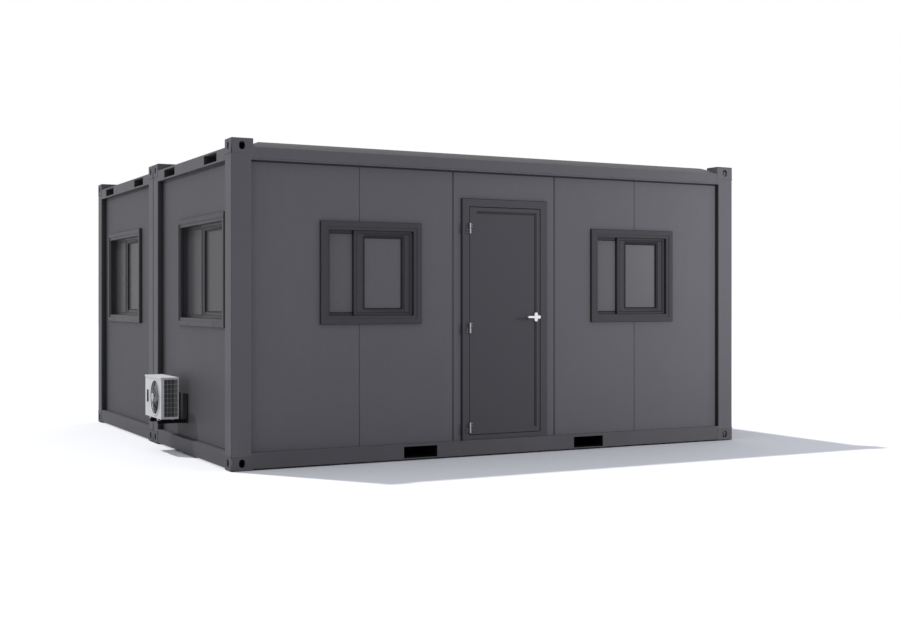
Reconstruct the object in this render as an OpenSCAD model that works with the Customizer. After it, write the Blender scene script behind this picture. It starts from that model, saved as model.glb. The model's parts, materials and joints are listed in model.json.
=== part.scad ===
// Modular site cabin: two steel-framed modules side by side, each with corner castings, posts, rails,
// a floor and a roof pan, closed by flat sandwich panels. The front has one door and two sliding windows,
// each module end has one wider window, and a small condenser hangs on the left end of the front module.
// Millimetres. X runs along the front, Y into the cabin, Z up. The origin is the middle of the footprint
// on the ground, and the front is at the lowest Y.

/* [Cabin] */
// Length along the front, over the castings
cabin_len = 4885; // [4600:5:6058]
// Depth of one module, over the castings
module_w = 2430; // [2300:5:2600]
// Joint between the two modules
module_gap = 10; // [6:1:30]
// Height over the castings
cabin_h = 2591; // [2500:1:2896]

/* [Corner castings] */
// Length of a casting along X
cast_x = 178; // [172:1:190]
// Width of a casting along Y
cast_y = 162; // [156:1:170]
// Height of a casting
cast_z = 118; // [112:1:124]
// Rounding of a casting's outer edges
cast_r = 10; // [4:1:16]
// Wall of a casting
cast_wall = 24; // [18:1:26]
// Length of the lifting aperture
aperture_len = 124; // [110:1:126]
// Width of the lifting aperture
aperture_w = 63.5; // [50:0.5:70]
// Width of the side holes
side_hole_w = 50; // [40:1:56]
// Height of the side holes
side_hole_h = 66; // [58:1:70]

/* [Frame] */
// Width of a post along X
post_w = 160; // [150:1:170]
// Width of a post along Y
post_d = 160; // [150:1:170]
// How far posts and rails stand behind the casting faces
frame_inset = 2; // [1:0.5:4]
// Rounding of the post's outer edge
post_r = 8; // [4:1:14]
// Depth of the rails, from face to room
rail_d = 150; // [130:1:180]
// Underside of the bottom rails
bottom_rail_lo = 12; // [6:1:20]
// Top of the bottom rails
bottom_rail_hi = 137; // [126:1:160]
// Height of the top rails
top_rail_h = 100; // [80:1:110]
// How far the top rails stay below the casting tops
top_rail_drop = 66; // [55:1:75]
// Round groove rolled into the rail faces
rail_groove_r = 4; // [2:0.5:6]
// Groove above the underside of the top rails
rail_groove_z = 12; // [8:1:30]
// Width of the slots in the top end rails
end_slot_w = 360; // [200:5:500]
// Height of the slots in the top end rails
end_slot_h = 70; // [40:1:74]
// Depth of the slots in the top end rails
end_slot_d = 110; // [60:5:120]
// Slot centre from the side of its module
end_slot_in = 575; // [450:5:700]

/* [Floor and roof] */
// Clear width of a fork pocket
pocket_w = 305; // [250:5:360]
// Distance between the fork pockets
pocket_pitch = 1650; // [1200:10:2050]
// Strap left under a fork pocket
pocket_strap = 8; // [5:1:12]
// Rail left over a fork pocket
pocket_cover = 22; // [15:1:30]
// Plate of the fork pockets
pocket_plate = 6; // [4:1:8]
// Width of a floor joist
joist_w = 50; // [30:1:80]
// Height of a floor joist
joist_h = 90; // [60:1:105]
// Joists in each bay between rails and pockets
joists_per_bay = 2; // [1:1:3]
// Thickness of the floor deck
deck_t = 20; // [12:1:30]
// Width of the strip over the floor joint
joint_strip_w = 60; // [40:1:100]
// Thickness of the joint strips
joint_strip_t = 3; // [2:0.5:5]
// Thickness of the ceiling panels
ceiling_t = 40; // [25:1:60]
// Sheet of the roof pans
roof_t = 3; // [2:0.5:4]
// Rise of the roof pans above the top rails
roof_rise = 56; // [40:1:58]
// Run of the slope along the long roof edges
roof_slope_run = 140; // [80:5:145]
// Run of the slope at the roof ends
roof_end_run = 140; // [100:5:180]
// Start of the roof pan from the cabin's ends, on the end rails
roof_end_in = 125; // [100:1:128]
// Gap between the roof pan and the castings
roof_cast_gap = 6; // [4:1:12]
// Pressed troughs across each roof pan
roof_troughs = 10; // [6:1:12]
// Depth of the roof troughs
trough_d = 14; // [6:1:20]
// Width of the roof left between two troughs
roof_rib_w = 150; // [80:5:200]
// Ends of the troughs from the long crests of the roof
trough_in = 50; // [30:5:120]
// Width of the cover over the roof joint
roof_cover_w = 120; // [80:5:180]

/* [Walls] */
// Thickness of the wall panels
wall_t = 60; // [40:1:80]
// How far the panels stand behind the casting faces
wall_recess = 55; // [30:1:65]
// Width of the middle panel bay, which holds the door
door_bay_w = 1000; // [960:1:1100]
// Width of the panels beside the middle bay
inner_panel_w = 852.5; // [780:0.5:900]
// Gap between panels
seam_gap = 2; // [1:0.5:4]
// Bevel along the panel seams
seam_bevel = 3; // [1:0.5:5]

/* [Windows] */
// Width of the front windows over the trim
window_w = 885; // [800:5:980]
// Height of the front windows over the trim
window_h = 830; // [700:5:900]
// Front windows below the underside of the top rails
window_head_gap = 460; // [350:5:600]
// Middle of the left front window along X
window_left_x = -1250; // [-1350:1:-1150]
// Middle of the right front window along X
window_right_x = 1320; // [1220:1:1400]
// Width of the end windows over the trim
end_window_w = 1380; // [1000:5:1450]
// Height of the end windows over the trim
end_window_h = 920; // [700:5:960]
// End windows below the underside of the top rails
end_window_head_gap = 395; // [300:5:500]
// End window of the front module, from the cabin's front
end_window_front = 975; // [945:1:1080]
// End window of the rear module, from the cabin's rear
end_window_rear = 1090; // [945:1:1200]
// Face of the window and door trim
trim_face = 65; // [50:1:80]
// How far the trim stands off the panels
trim_proud = 30; // [22:1:40]
// Raised outer band of the window trim
trim_band = 38; // [25:1:50]
// Depth of the trim's inner band behind the outer one
trim_step = 8; // [3:1:14]
// Lap of the trim over the panels
trim_lap = 20; // [10:1:30]
// Width of the sliding sash in the front windows
front_sash_w = 525; // [460:5:560]
// Width of the sliding sash in the end windows
end_sash_w = 700; // [600:5:760]
// Face of the sash stiles
stile_face = 92; // [70:1:105]
// Face of the sash rails
sash_rail = 55; // [48:1:65]
// Proud rim round the sash
sash_rim = 20; // [12:1:22]
// Glazing bead round the glass of the sash
glass_bead = 22; // [12:1:24]
// Step from the sash's rim to its band, and from the band to the bead
sash_step = 6; // [2:0.5:7]
// Thickness of the sash
sash_t = 30; // [24:1:36]
// Track plane of the sash behind the panel face
sash_seat = 41; // [36:1:44]
// Thickness of the glass units
glass_t = 12; // [8:1:14]
// Bead around the fixed glass
bead_face = 22; // [12:1:30]
// Mullion beside the fixed glass
mullion_face = 45; // [30:1:60]
// Depth of the fixed light
fixed_d = 17; // [15:1:18]

/* [Door] */
// Width of the door leaf
leaf_w = 690; // [640:1:760]
// Middle of the door along X
door_x = -8; // [-40:1:40]
// Door trim below the underside of the top rails
door_head_gap = 233; // [150:1:320]
// Thickness of the leaf
leaf_t = 45; // [35:1:55]
// How far the leaf's face stands behind the trim face
leaf_recess = 4; // [0:1:8]
// Running gap around the leaf
leaf_gap = 5; // [5:0.5:8]
// Height of the threshold
threshold_h = 42; // [30:1:60]
// Border profile of the leaf
leaf_border = 40; // [25:1:60]
// Depth of the leaf's flat field behind its border
leaf_field_d = 2; // [1:0.5:4]
// Stop behind the leaf
door_stop = 14; // [10:1:20]
// Lowest hinge above the foot of the leaf
hinge_low_in = 60; // [51:1:200]
// Highest hinge below the head of the leaf
hinge_high_in = 182; // [60:1:300]
// Number of hinges
hinge_count = 3; // [2:1:4]
// Length of one hinge barrel
barrel_h = 45; // [30:1:60]
// Radius of the hinge barrels
barrel_r = 8; // [7:0.5:10]
// Radius of the hinge pins
pin_r = 4; // [3:0.25:5]
// Play between pin and barrel
pin_play = 0.3; // [0.2:0.05:0.4]
// Gap between the two barrels of a hinge
barrel_gap = 1; // [0.5:0.25:2]
// Hinge axis in front of the trim face
hinge_proud = 12; // [12:0.5:14]
// Width of the hinge flaps
flap_w = 30; // [24:1:40]
// Thickness of the hinge flaps
flap_t = 3; // [2:0.5:4]

/* [Door handle] */
// Handle axis above the ground
handle_z = 1182; // [1050:1:1250]
// Handle axis from the leaf's closing edge
handle_in = 40; // [36:1:60]
// Width of the handle plates
plate_w = 32; // [28:1:40]
// Height of the handle plates
plate_h = 78; // [60:1:180]
// Thickness of the handle plates
plate_t = 8; // [5:1:12]
// Length of the lever from its axis
lever_len = 108; // [90:1:140]
// Height of the lever
lever_h = 18; // [14:1:24]
// Radius of the lever's round end at its axis
lever_boss_r = 15; // [11:0.5:18]
// Thickness of the lever
lever_t = 14; // [10:1:18]
// Reach of the lever's neck from the plate
neck_len = 38; // [28:1:50]
// Radius of the lever's neck
neck_r = 8; // [6:0.5:10]
// Play around the lever's neck
neck_play = 0.3; // [0.2:0.05:0.4]

/* [Condenser] */
// Width of the condenser along Y
cond_w = 556; // [500:2:640]
// Height of the condenser
cond_h = 358; // [340:2:420]
// Depth of the condenser along X
cond_d = 150; // [145:1:200]
// Underside of the condenser
cond_z = 307; // [200:1:500]
// Far side of the condenser, from the module joint
cond_joint_in = 520; // [300:2:700]
// Height of the condenser's feet
cond_foot_h = 18; // [10:1:30]
// Length of a foot along X
cond_foot_len = 24; // [16:1:40]
// Overhang of the condenser's lid
lid_lap = 4; // [2:0.5:8]
// Height of the lid's rim
lid_h = 14; // [8:1:16]
// Space between the condenser and the casting faces
cond_off = 46; // [40:1:100]
// Sheet of the condenser casing
cond_wall = 6; // [4:0.5:8]
// Radius of the fan hole
fan_hole_r = 145; // [135:1:150]
// Fan centre from the near side of the casing
fan_in = 205; // [190:1:230]
// Width of the raised lip round the fan hole
fan_lip_w = 12; // [6:1:16]
// Height of the raised lip round the fan hole
fan_lip_h = 5; // [3:0.5:8]
// Length of the grip on the service side
grip_len = 110; // [80:2:140]
// Width of the grip on the service side
grip_w = 20; // [14:1:30]
// Height of the grip on the service side
grip_h = 12; // [6:1:16]
// Radius of the fan
fan_r = 128; // [110:1:130]
// Radius of the fan hub
hub_r = 36; // [28:1:45]
// Depth of the fan
fan_d = 36; // [28:1:40]
// Number of fan blades
blade_count = 4; // [3:1:6]
// Pitch of the fan blades in degrees
blade_pitch = 18; // [15:1:24]
// Radius of the round fan blades
blade_r = 52; // [46:0.5:54]
// Thickness of the fan blades
blade_t = 4; // [3:0.5:5]
// Radius of the motor
motor_r = 45; // [35:1:55]
// Length of the motor
motor_len = 38; // [30:1:45]
// Width of the motor's upright bar
motor_bar = 24; // [16:1:40]
// Radius of the motor shaft
shaft_r = 5; // [4:0.5:6]
// Play between shaft and hub
shaft_play = 0.3; // [0.2:0.05:0.4]
// Running gap before and behind the fan
fan_gap = 6; // [5:0.5:8]
// Bar of the guards
guard_bar = 4; // [3:0.5:5]
// Rise of the domed fan guard
guard_rise = 26; // [12:1:34]
// Rings of the fan guard
guard_rings = 7; // [4:1:9]
// Spokes of the fan guard
guard_spokes = 8; // [6:1:12]
// Thickness of the coil
coil_t = 24; // [18:1:28]
// Pitch of the coil's fins
fin_pitch = 8; // [6:1:14]
// Gap between two fins
fin_gap = 4; // [2:0.5:8]
// Depth of the gaps between the fins
fin_d = 6; // [3:0.5:10]
// Side guard from the fan face and from the back edge of the casing
side_guard_in = 24; // [16:1:30]
// Frame of sheet left over and under the side guard
side_guard_rim = 12; // [8:1:20]
// Upright bars of the side guard
side_guard_cols = 4; // [3:1:6]
// Level bars of the side guard
side_guard_rows = 9; // [5:1:12]
// Width of a bracket's arm and of the feet on it
bracket_w = 40; // [25:1:60]
// Plate of the condenser brackets
bracket_t = 6; // [4:0.5:8]
// Height of the brackets' arms
bracket_arm_h = 30; // [20:1:50]
// Height of the brackets' wall plates over their arms
bracket_leg = 225; // [150:5:320]
// Width of the brackets' wall plates
bracket_leg_w = 160; // [60:2:180]
// Brackets from the sides of the casing
bracket_in = 150; // [95:1:170]

/* [Hidden] */
$fn = 48;

// Overrun of every cut past the faces that it opens
cut = 1;

// Half sizes of the cabin and the inner limits of the posts
half_x = cabin_len / 2;
half_y = module_w + module_gap / 2;
joint_y = module_gap / 2;
post_in_x = frame_inset + post_w;
post_in_y = frame_inset + post_d;
clear_x = half_x - post_in_x;

// Levels
bottom_cast_hi = cast_z;
top_cast_lo = cabin_h - cast_z;
top_rail_hi = cabin_h - top_rail_drop;
top_rail_lo = top_rail_hi - top_rail_h;
deck_hi = bottom_rail_hi + deck_t;
pocket_lo = bottom_rail_lo + pocket_strap;
pocket_hi = bottom_rail_hi - pocket_cover;

// Feet of the roof slopes from the middle of a roof pan
roof_reach_x = half_x - roof_end_in;
roof_reach_y = module_w / 2 - frame_inset;

// Wall planes
wall_face_y = half_y - wall_recess;
wall_face_x = half_x - wall_recess;
wall_back_y = wall_face_y - wall_t;
wall_back_x = wall_face_x - wall_t;
end_panel_len = module_w - 2 * post_in_y;
end_panel_mid = (half_y + joint_y) / 2;
outer_seam = door_bay_w / 2 + inner_panel_w;

// Undersides of the windows, and the end windows along Y
window_z = top_rail_lo - window_head_gap - window_h;
end_window_z = top_rail_lo - end_window_head_gap - end_window_h;
end_front_y = end_window_front - half_y;
end_rear_y = half_y - end_window_rear;

// Door: opening in the trim, cut in the wall and hinge axis
door_top = top_rail_lo - door_head_gap;
door_open_w = leaf_w + 2 * leaf_gap;
door_trim_w = door_open_w + 2 * trim_face;
door_cut_w = door_trim_w - 2 * trim_lap;
door_cut_top = door_top - trim_lap;
door_open_top = door_top - trim_face;
leaf_lo = bottom_rail_hi + threshold_h + leaf_gap;
leaf_hi = door_open_top - leaf_gap;
trim_front_y = -wall_face_y - trim_proud;
leaf_front_y = trim_front_y + leaf_recess;
leaf_back_y = leaf_front_y + leaf_t;
hinge_x = door_x - leaf_w / 2 - leaf_gap / 2;
hinge_y = trim_front_y - hinge_proud;
hinge_low_z = leaf_lo + hinge_low_in;
hinge_step = (leaf_hi - hinge_high_in - hinge_low_z) / (hinge_count - 1);
handle_x = door_x + leaf_w / 2 - handle_in;
lever_span = leaf_t + 2 * (plate_t + neck_len);

// Condenser: casing corner, fan axis and planes inside, from the fan face inwards
cond_x = -half_x - cond_off - cond_d;
cond_y = -joint_y - cond_joint_in - cond_w;
fan_y = cond_y + fan_in;
fan_z = cond_z + cond_h / 2;
fan_front = cond_x + cond_wall + fan_gap;
fan_back = fan_front + fan_d;
motor_front = fan_back + fan_gap;
coil_front = cond_x + cond_d - cond_wall - coil_t;
cond_in_lo = cond_z + cond_wall;
cond_in_hi = cond_z + cond_h - cond_wall;
bracket_mids = [cond_y + bracket_in, cond_y + cond_w - bracket_in];

// Opening of the side guard
guard_x_lo = cond_x + side_guard_in;
guard_x_hi = cond_x + cond_d - cond_wall;
guard_z_lo = cond_in_lo + side_guard_rim;
guard_z_hi = cond_in_hi - side_guard_rim;

// Sphere of the domed fan guard and the height of its centre behind the fan face
dome_r = (fan_hole_r * fan_hole_r + guard_rise * guard_rise) / (2 * guard_rise);
dome_mid = dome_r - guard_rise;

frame_grey = [0.27, 0.27, 0.29];
panel_grey = [0.33, 0.33, 0.36];
trim_grey = [0.22, 0.22, 0.24];
glass_grey = [0.40, 0.41, 0.44];
pale_metal = [0.82, 0.82, 0.82];
dark_metal = [0.12, 0.12, 0.13];
floor_grey = [0.45, 0.44, 0.42];
lining_white = [0.85, 0.85, 0.83];

// A block between two corners
module block(lo, hi) {
    translate(lo) cube(hi - lo);
}

// A flat outline in X and Z, extruded along Y between two planes
module along_y(y_lo, y_hi) {
    translate([0, y_hi, 0]) rotate([90, 0, 0]) linear_extrude(y_hi - y_lo) children();
}

// A flat outline in Y and Z, extruded along X between two planes
module along_x(x_lo, x_hi) {
    translate([x_lo, 0, 0]) rotate([90, 0, 90]) linear_extrude(x_hi - x_lo) children();
}

// A rectangle from the origin whose corner at the origin is round
module round_corner(w, d, r) {
    translate([r, 0]) square([w - r, d]);
    translate([0, r]) square([w, d - r]);
    translate([r, r]) circle(r);
}

// A slot outline with round ends along its length
module stadium(len, width) {
    for (side = [-1, 1]) translate([side * (len - width) / 2, 0]) circle(d = width);
    square([len - width, width], center = true);
}

// The eight corners of the two modules: the child's own corner faces -X and -Y there
module at_corners() {
    for (sx = [-1, 1]) {
        for (sy = [-1, 1]) {
            translate([sx * half_x, sy * half_y, 0]) turn_corner(sx, sy) children();
            translate([sx * half_x, sy * joint_y, 0]) turn_corner(sx, -sy) children();
        }
    }
}

// Turns a corner at the lowest X and Y to the other corners
module turn_corner(sx, sy) {
    mirror([sx > 0 ? 1 : 0, 0, 0]) mirror([0, sy > 0 ? 1 : 0, 0]) children();
}

// Both modules: the child is drawn for the front one
module both_modules() {
    children();
    mirror([0, 1, 0]) children();
}

// Body of a casting: the three edges that meet at its outer lower corner are round
module casting_body() {
    intersection() {
        linear_extrude(cast_z) round_corner(cast_x, cast_y, cast_r);
        along_y(0, cast_y) round_corner(cast_x, cast_z, cast_r);
        along_x(0, cast_x) round_corner(cast_y, cast_z, cast_r);
    }
}

// A hollow casting at the lowest corner, its lifting aperture on the lower face
module casting() {
    hole_reach = cast_wall + cut;
    difference() {
        casting_body();
        translate([cast_wall, cast_wall, cast_wall])
            cube([cast_x - 2 * cast_wall, cast_y - 2 * cast_wall, cast_z - 2 * cast_wall]);
        translate([cast_x / 2, cast_y / 2, 0]) linear_extrude(2 * hole_reach, center = true)
            stadium(aperture_len, aperture_w);
        translate([cast_x / 2, 0, cast_z / 2]) rotate([90, 0, 0])
            linear_extrude(2 * hole_reach, center = true) rotate(90) stadium(side_hole_h, side_hole_w);
        translate([0, cast_y / 2, cast_z / 2]) rotate([90, 0, 90])
            linear_extrude(2 * hole_reach, center = true) rotate(90) stadium(side_hole_h, side_hole_w);
    }
}

module bottom_castings() {
    color(frame_grey) at_corners() casting();
}

module top_castings() {
    color(frame_grey) at_corners() translate([0, 0, cabin_h]) mirror([0, 0, 1]) casting();
}

module corner_posts() {
    color(frame_grey) at_corners() translate([frame_inset, frame_inset, bottom_cast_hi])
        linear_extrude(top_cast_lo - bottom_cast_hi) round_corner(post_w, post_d, post_r);
}

// Outline of a bottom rail that stands between castings and laps over them to the posts
module bottom_rail_outline(cast_reach, post_reach) {
    translate([-cast_reach, bottom_rail_lo]) square([2 * cast_reach, bottom_rail_hi - bottom_rail_lo]);
    translate([-post_reach, bottom_cast_hi]) square([2 * post_reach, bottom_rail_hi - bottom_cast_hi]);
}

// Outline of a top rail that runs under the castings to the posts
module top_rail_outline(cast_reach, post_reach) {
    translate([-cast_reach, top_rail_lo]) square([2 * cast_reach, top_rail_h]);
    translate([-post_reach, top_rail_lo]) square([2 * post_reach, top_cast_lo - top_rail_lo]);
}

// A long bottom rail at the front, with its two fork pockets
module long_bottom_rail() {
    front = -half_y + frame_inset;
    difference() {
        along_y(front, front + rail_d) bottom_rail_outline(half_x - cast_x, clear_x);
        for (side = [-1, 1])
            translate([side * pocket_pitch / 2 - pocket_w / 2, front - cut, pocket_lo])
                cube([pocket_w, rail_d + 2 * cut, pocket_hi - pocket_lo]);
    }
}

// A long top rail at the front, with a rolled groove along its face
module long_top_rail() {
    front = -half_y + frame_inset;
    difference() {
        along_y(front, front + rail_d) top_rail_outline(half_x - cast_x, clear_x);
        translate([-half_x, front, top_rail_lo + rail_groove_z]) rotate([0, 90, 0])
            cylinder(r = rail_groove_r, h = cabin_len);
    }
}

// Moves a rail from the front of the front module to its joint side
module at_joint() {
    translate([0, -half_y - joint_y, 0]) mirror([0, 1, 0]) children();
}

module front_bottom_rail() { color(frame_grey) long_bottom_rail(); }
module rear_bottom_rail() { color(frame_grey) mirror([0, 1, 0]) long_bottom_rail(); }
module middle_bottom_rails() { color(frame_grey) both_modules() at_joint() long_bottom_rail(); }
module front_top_rail() { color(frame_grey) long_top_rail(); }
module rear_top_rail() { color(frame_grey) mirror([0, 1, 0]) long_top_rail(); }
module middle_top_rails() { color(frame_grey) both_modules() at_joint() long_top_rail(); }

module end_bottom_rails() {
    left = -half_x + frame_inset;
    reach = module_w / 2;
    color(frame_grey) for (sx = [0, 1]) mirror([sx, 0, 0]) both_modules()
        translate([0, -end_panel_mid, 0]) along_x(left, left + rail_d)
            bottom_rail_outline(reach - cast_y, reach - post_in_y);
}

// A top end rail of the front module on the left, with its two slots
module end_top_rail() {
    left = -half_x + frame_inset;
    reach = module_w / 2;
    slot_z = (top_rail_lo + top_rail_hi) / 2;
    translate([0, -end_panel_mid, 0]) difference() {
        along_x(left, left + rail_d) top_rail_outline(reach - cast_y, reach - post_in_y);
        for (side = [-1, 1])
            translate([left - cut, side * (reach - end_slot_in) - end_slot_w / 2, slot_z - end_slot_h / 2])
                cube([end_slot_d + cut, end_slot_w, end_slot_h]);
    }
}

module end_top_rails() {
    color(frame_grey) for (sx = [0, 1]) mirror([sx, 0, 0]) both_modules() end_top_rail();
}

// Flat tubes that line the fork pockets between the rails of each module
module fork_pockets() {
    front = -half_y + frame_inset + rail_d;
    back = -joint_y - frame_inset - rail_d;
    clear = [pocket_w, pocket_hi - pocket_lo];
    middle = (pocket_lo + pocket_hi) / 2;
    color(frame_grey) both_modules() for (side = [-1, 1])
        along_y(front, back) translate([side * pocket_pitch / 2, middle]) difference() {
            square(clear + 2 * [pocket_plate, pocket_plate], center = true);
            square(clear, center = true);
        }
}

// Joists across each module: two bays outside the fork pockets and one between them
module floor_joists() {
    front = -half_y + frame_inset + rail_d;
    back = -joint_y - frame_inset - rail_d;
    inner = pocket_pitch / 2 - pocket_w / 2 - pocket_plate;
    outer = pocket_pitch / 2 + pocket_w / 2 + pocket_plate;
    end_rail = half_x - frame_inset - rail_d;
    bays = [[-end_rail, -outer], [-inner, inner], [outer, end_rail]];
    color(frame_grey) both_modules() for (bay = bays) for (i = [1 : joists_per_bay])
        translate([bay[0] + (bay[1] - bay[0]) * i / (joists_per_bay + 1) - joist_w / 2, front,
                bottom_rail_hi - joist_h])
            cube([joist_w, back - front, joist_h]);
}

// Floor boards, cut round the posts
module floor_decks() {
    color(floor_grey) both_modules() difference() {
        block([-wall_back_x, -wall_back_y, bottom_rail_hi], [wall_back_x, -joint_y, deck_hi]);
        for (sx = [-1, 1]) for (y = [-half_y, -joint_y - post_in_y])
            translate([sx * (half_x - post_in_x / 2) - post_in_x / 2, y, bottom_rail_hi - cut])
                cube([post_in_x, post_in_y, deck_t + 2 * cut]);
    }
}

module floor_joint_strip() {
    color(pale_metal) block([-clear_x, -joint_strip_w / 2, deck_hi],
        [clear_x, joint_strip_w / 2, deck_hi + joint_strip_t]);
}

module ceiling_panels() {
    edge_x = half_x - frame_inset - rail_d;
    color(lining_white) both_modules() difference() {
        block([-edge_x, -half_y + frame_inset + rail_d, top_rail_lo],
            [edge_x, -joint_y - frame_inset - rail_d, top_rail_lo + ceiling_t]);
        for (sx = [-1, 1]) for (y = [-half_y, -joint_y - post_in_y])
            translate([sx * (half_x - post_in_x / 2) - post_in_x / 2, y, top_rail_lo - cut])
                cube([post_in_x, post_in_y, ceiling_t + 2 * cut]);
    }
}

// Outline of a roof pan across one way: two slopes up to a flat crest, shrunk by a drop
module roof_outline(reach, run, drop) {
    foot = reach - drop;
    crest = foot - run;
    polygon([[-foot, -drop], [-crest, roof_rise - drop], [crest, roof_rise - drop], [foot, -drop]]);
}

// Outline of a trough across one way, with sides at 45 degrees, lowered by a drop
module trough_outline(half, drop) {
    top = roof_rise - drop;
    polygon([[-half - cut, top + cut], [-half + trough_d, top - trough_d],
        [half - trough_d, top - trough_d], [half + cut, top + cut]]);
}

// Troughs pressed into a roof pan
module roof_presses(drop) {
    pitch = 2 * (roof_reach_x - roof_end_run) / roof_troughs;
    half_w = (pitch - roof_rib_w) / 2;
    half_len = roof_reach_y - roof_slope_run - trough_in;
    for (i = [0 : roof_troughs - 1]) translate([pitch * (i + 0.5 - roof_troughs / 2), 0, 0]) intersection() {
        along_y(-half_len - cut, half_len + cut) trough_outline(half_w, drop);
        along_x(-half_w - cut, half_w + cut) trough_outline(half_len, drop);
    }
}

module roof_mass(drop) {
    difference() {
        intersection() {
            along_y(-module_w, module_w) roof_outline(roof_reach_x, roof_end_run, drop);
            along_x(-cabin_len, cabin_len) roof_outline(roof_reach_y, roof_slope_run, drop);
        }
        roof_presses(drop);
    }
}

// Notches that keep a roof pan clear of the four castings of its module
module roof_notches() {
    notch = [cast_x + roof_cast_gap, cast_y + roof_cast_gap, cabin_h];
    for (sx = [-1, 1]) for (sy = [-1, 1])
        translate([sx * (half_x - notch[0] / 2), sy * (module_w - notch[1]) / 2, 0])
            cube(notch, center = true);
}

module roof_pans() {
    color(frame_grey) both_modules() translate([0, -end_panel_mid, top_rail_hi]) difference() {
        roof_mass(0);
        roof_mass(roof_t);
        roof_notches();
    }
}

// Folded flashing in the valley between the two roof pans, lying on both slopes
module roof_joint_cover() {
    foot = joint_y + frame_inset;
    reach = roof_cover_w / 2;
    lift = (reach - foot) * roof_rise / roof_slope_run;
    half_len = half_x - cast_x - roof_cast_gap;
    color(frame_grey) along_x(-half_len, half_len) translate([0, top_rail_hi])
        polygon([[-reach, lift], [-foot, 0], [foot, 0], [reach, lift], [reach, lift + joint_strip_t],
            [foot, joint_strip_t], [-foot, joint_strip_t], [-reach, lift + joint_strip_t]]);
}

// Weather strips between the middle posts
module joint_seals() {
    half = joint_y + frame_inset;
    color(dark_metal) for (sx = [0, 1]) mirror([sx, 0, 0])
        block([-half_x + frame_inset + post_r, -half, bottom_cast_hi],
            [-half_x + wall_recess, half, top_cast_lo]);
}

// A wall panel with bevelled upright edges on its outer face, which looks along -Y
module wall_panel(x_lo, x_hi, z_lo, z_hi) {
    translate([0, -wall_face_y, z_lo]) linear_extrude(z_hi - z_lo)
        polygon([[x_lo + seam_bevel, 0], [x_hi - seam_bevel, 0], [x_hi, seam_bevel], [x_hi, wall_t],
            [x_lo, wall_t], [x_lo, seam_bevel]]);
}

// Cut of a front window through the wall
module front_window_cut(x) {
    translate([x - window_w / 2 + trim_lap, -wall_face_y - cut, window_z + trim_lap])
        cube([window_w - 2 * trim_lap, wall_t + 2 * cut, window_h - 2 * trim_lap]);
}

// The two outer panels and the two beside the middle bay, with the window cuts
module long_wall_panels() {
    half = seam_gap / 2;
    difference() {
        for (sx = [0, 1]) mirror([sx, 0, 0]) {
            wall_panel(-clear_x, -outer_seam - half, bottom_rail_hi, top_rail_lo);
            wall_panel(-outer_seam + half, -door_bay_w / 2 - half, bottom_rail_hi, top_rail_lo);
        }
        front_window_cut(window_left_x);
        front_window_cut(window_right_x);
    }
}

module front_wall_panels() { color(panel_grey) long_wall_panels(); }

module door_side_panels() {
    edge = door_bay_w / 2 - seam_gap / 2;
    color(panel_grey) {
        wall_panel(-edge, door_x - door_cut_w / 2, bottom_rail_hi, top_rail_lo);
        wall_panel(door_x + door_cut_w / 2, edge, bottom_rail_hi, top_rail_lo);
    }
}

module door_header_panel() {
    color(panel_grey) wall_panel(door_x - door_cut_w / 2, door_x + door_cut_w / 2, door_cut_top, top_rail_lo);
}

module rear_wall_panels() {
    edge = door_bay_w / 2 - seam_gap / 2;
    color(panel_grey) rotate([0, 0, 180]) {
        long_wall_panels();
        wall_panel(-edge, edge, bottom_rail_hi, top_rail_lo);
    }
}

// One panel closes each module end, cut for its window
module end_wall_panels() {
    for (y = [-end_panel_mid, end_panel_mid]) difference() {
        block([-wall_face_x, y - end_panel_len / 2, bottom_rail_hi],
            [-wall_back_x, y + end_panel_len / 2, top_rail_lo]);
        for (mid = [end_front_y, end_rear_y])
            translate([-wall_face_x - cut, mid - end_window_w / 2 + trim_lap, end_window_z + trim_lap])
                cube([wall_t + 2 * cut, end_window_w - 2 * trim_lap, end_window_h - 2 * trim_lap]);
    }
}

module left_wall_panels() { color(panel_grey) end_wall_panels(); }
module right_wall_panels() { color(panel_grey) mirror([1, 0, 0]) end_wall_panels(); }

// Window frame seen from outside: X to the right, Z up from its lower edge, outer panel face at Y 0.
// The fixed light is on the left and the track of the sliding sash on the right.
module window_frame(w, h, sash_w) {
    light_r = w - trim_face - sash_w + stile_face;
    open_h = h - 2 * trim_face;
    translate([-w / 2, 0, 0]) difference() {
        union() {
            translate([0, -trim_proud, 0]) cube([w, trim_proud, h]);
            translate([trim_lap, 0, trim_lap]) cube([w - 2 * trim_lap, wall_t, h - 2 * trim_lap]);
        }
        translate([trim_band, -trim_proud - cut, trim_band])
            cube([w - 2 * trim_band, trim_step + cut, h - 2 * trim_band]);
        translate([trim_face, -trim_proud - cut, trim_face])
            cube([w - 2 * trim_face, trim_proud + cut + sash_seat, open_h]);
        translate([trim_face, sash_seat + fixed_d, trim_face])
            cube([w - 2 * trim_face, wall_t, open_h]);
        translate([light_r, 0, trim_face]) cube([w - trim_face - light_r, wall_t + cut, open_h]);
        translate([trim_face + bead_face, 0, trim_face + bead_face])
            cube([light_r - mullion_face - trim_face - bead_face, wall_t + cut, open_h - 2 * bead_face]);
    }
}

// A cut into the outer face of a sash, inside borders along its sides and along its top and foot
module sash_cut(sash_w, sash_h, side, level, depth) {
    translate([side, -cut, level]) cube([sash_w - 2 * side, depth + cut, sash_h - 2 * level]);
}

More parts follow.
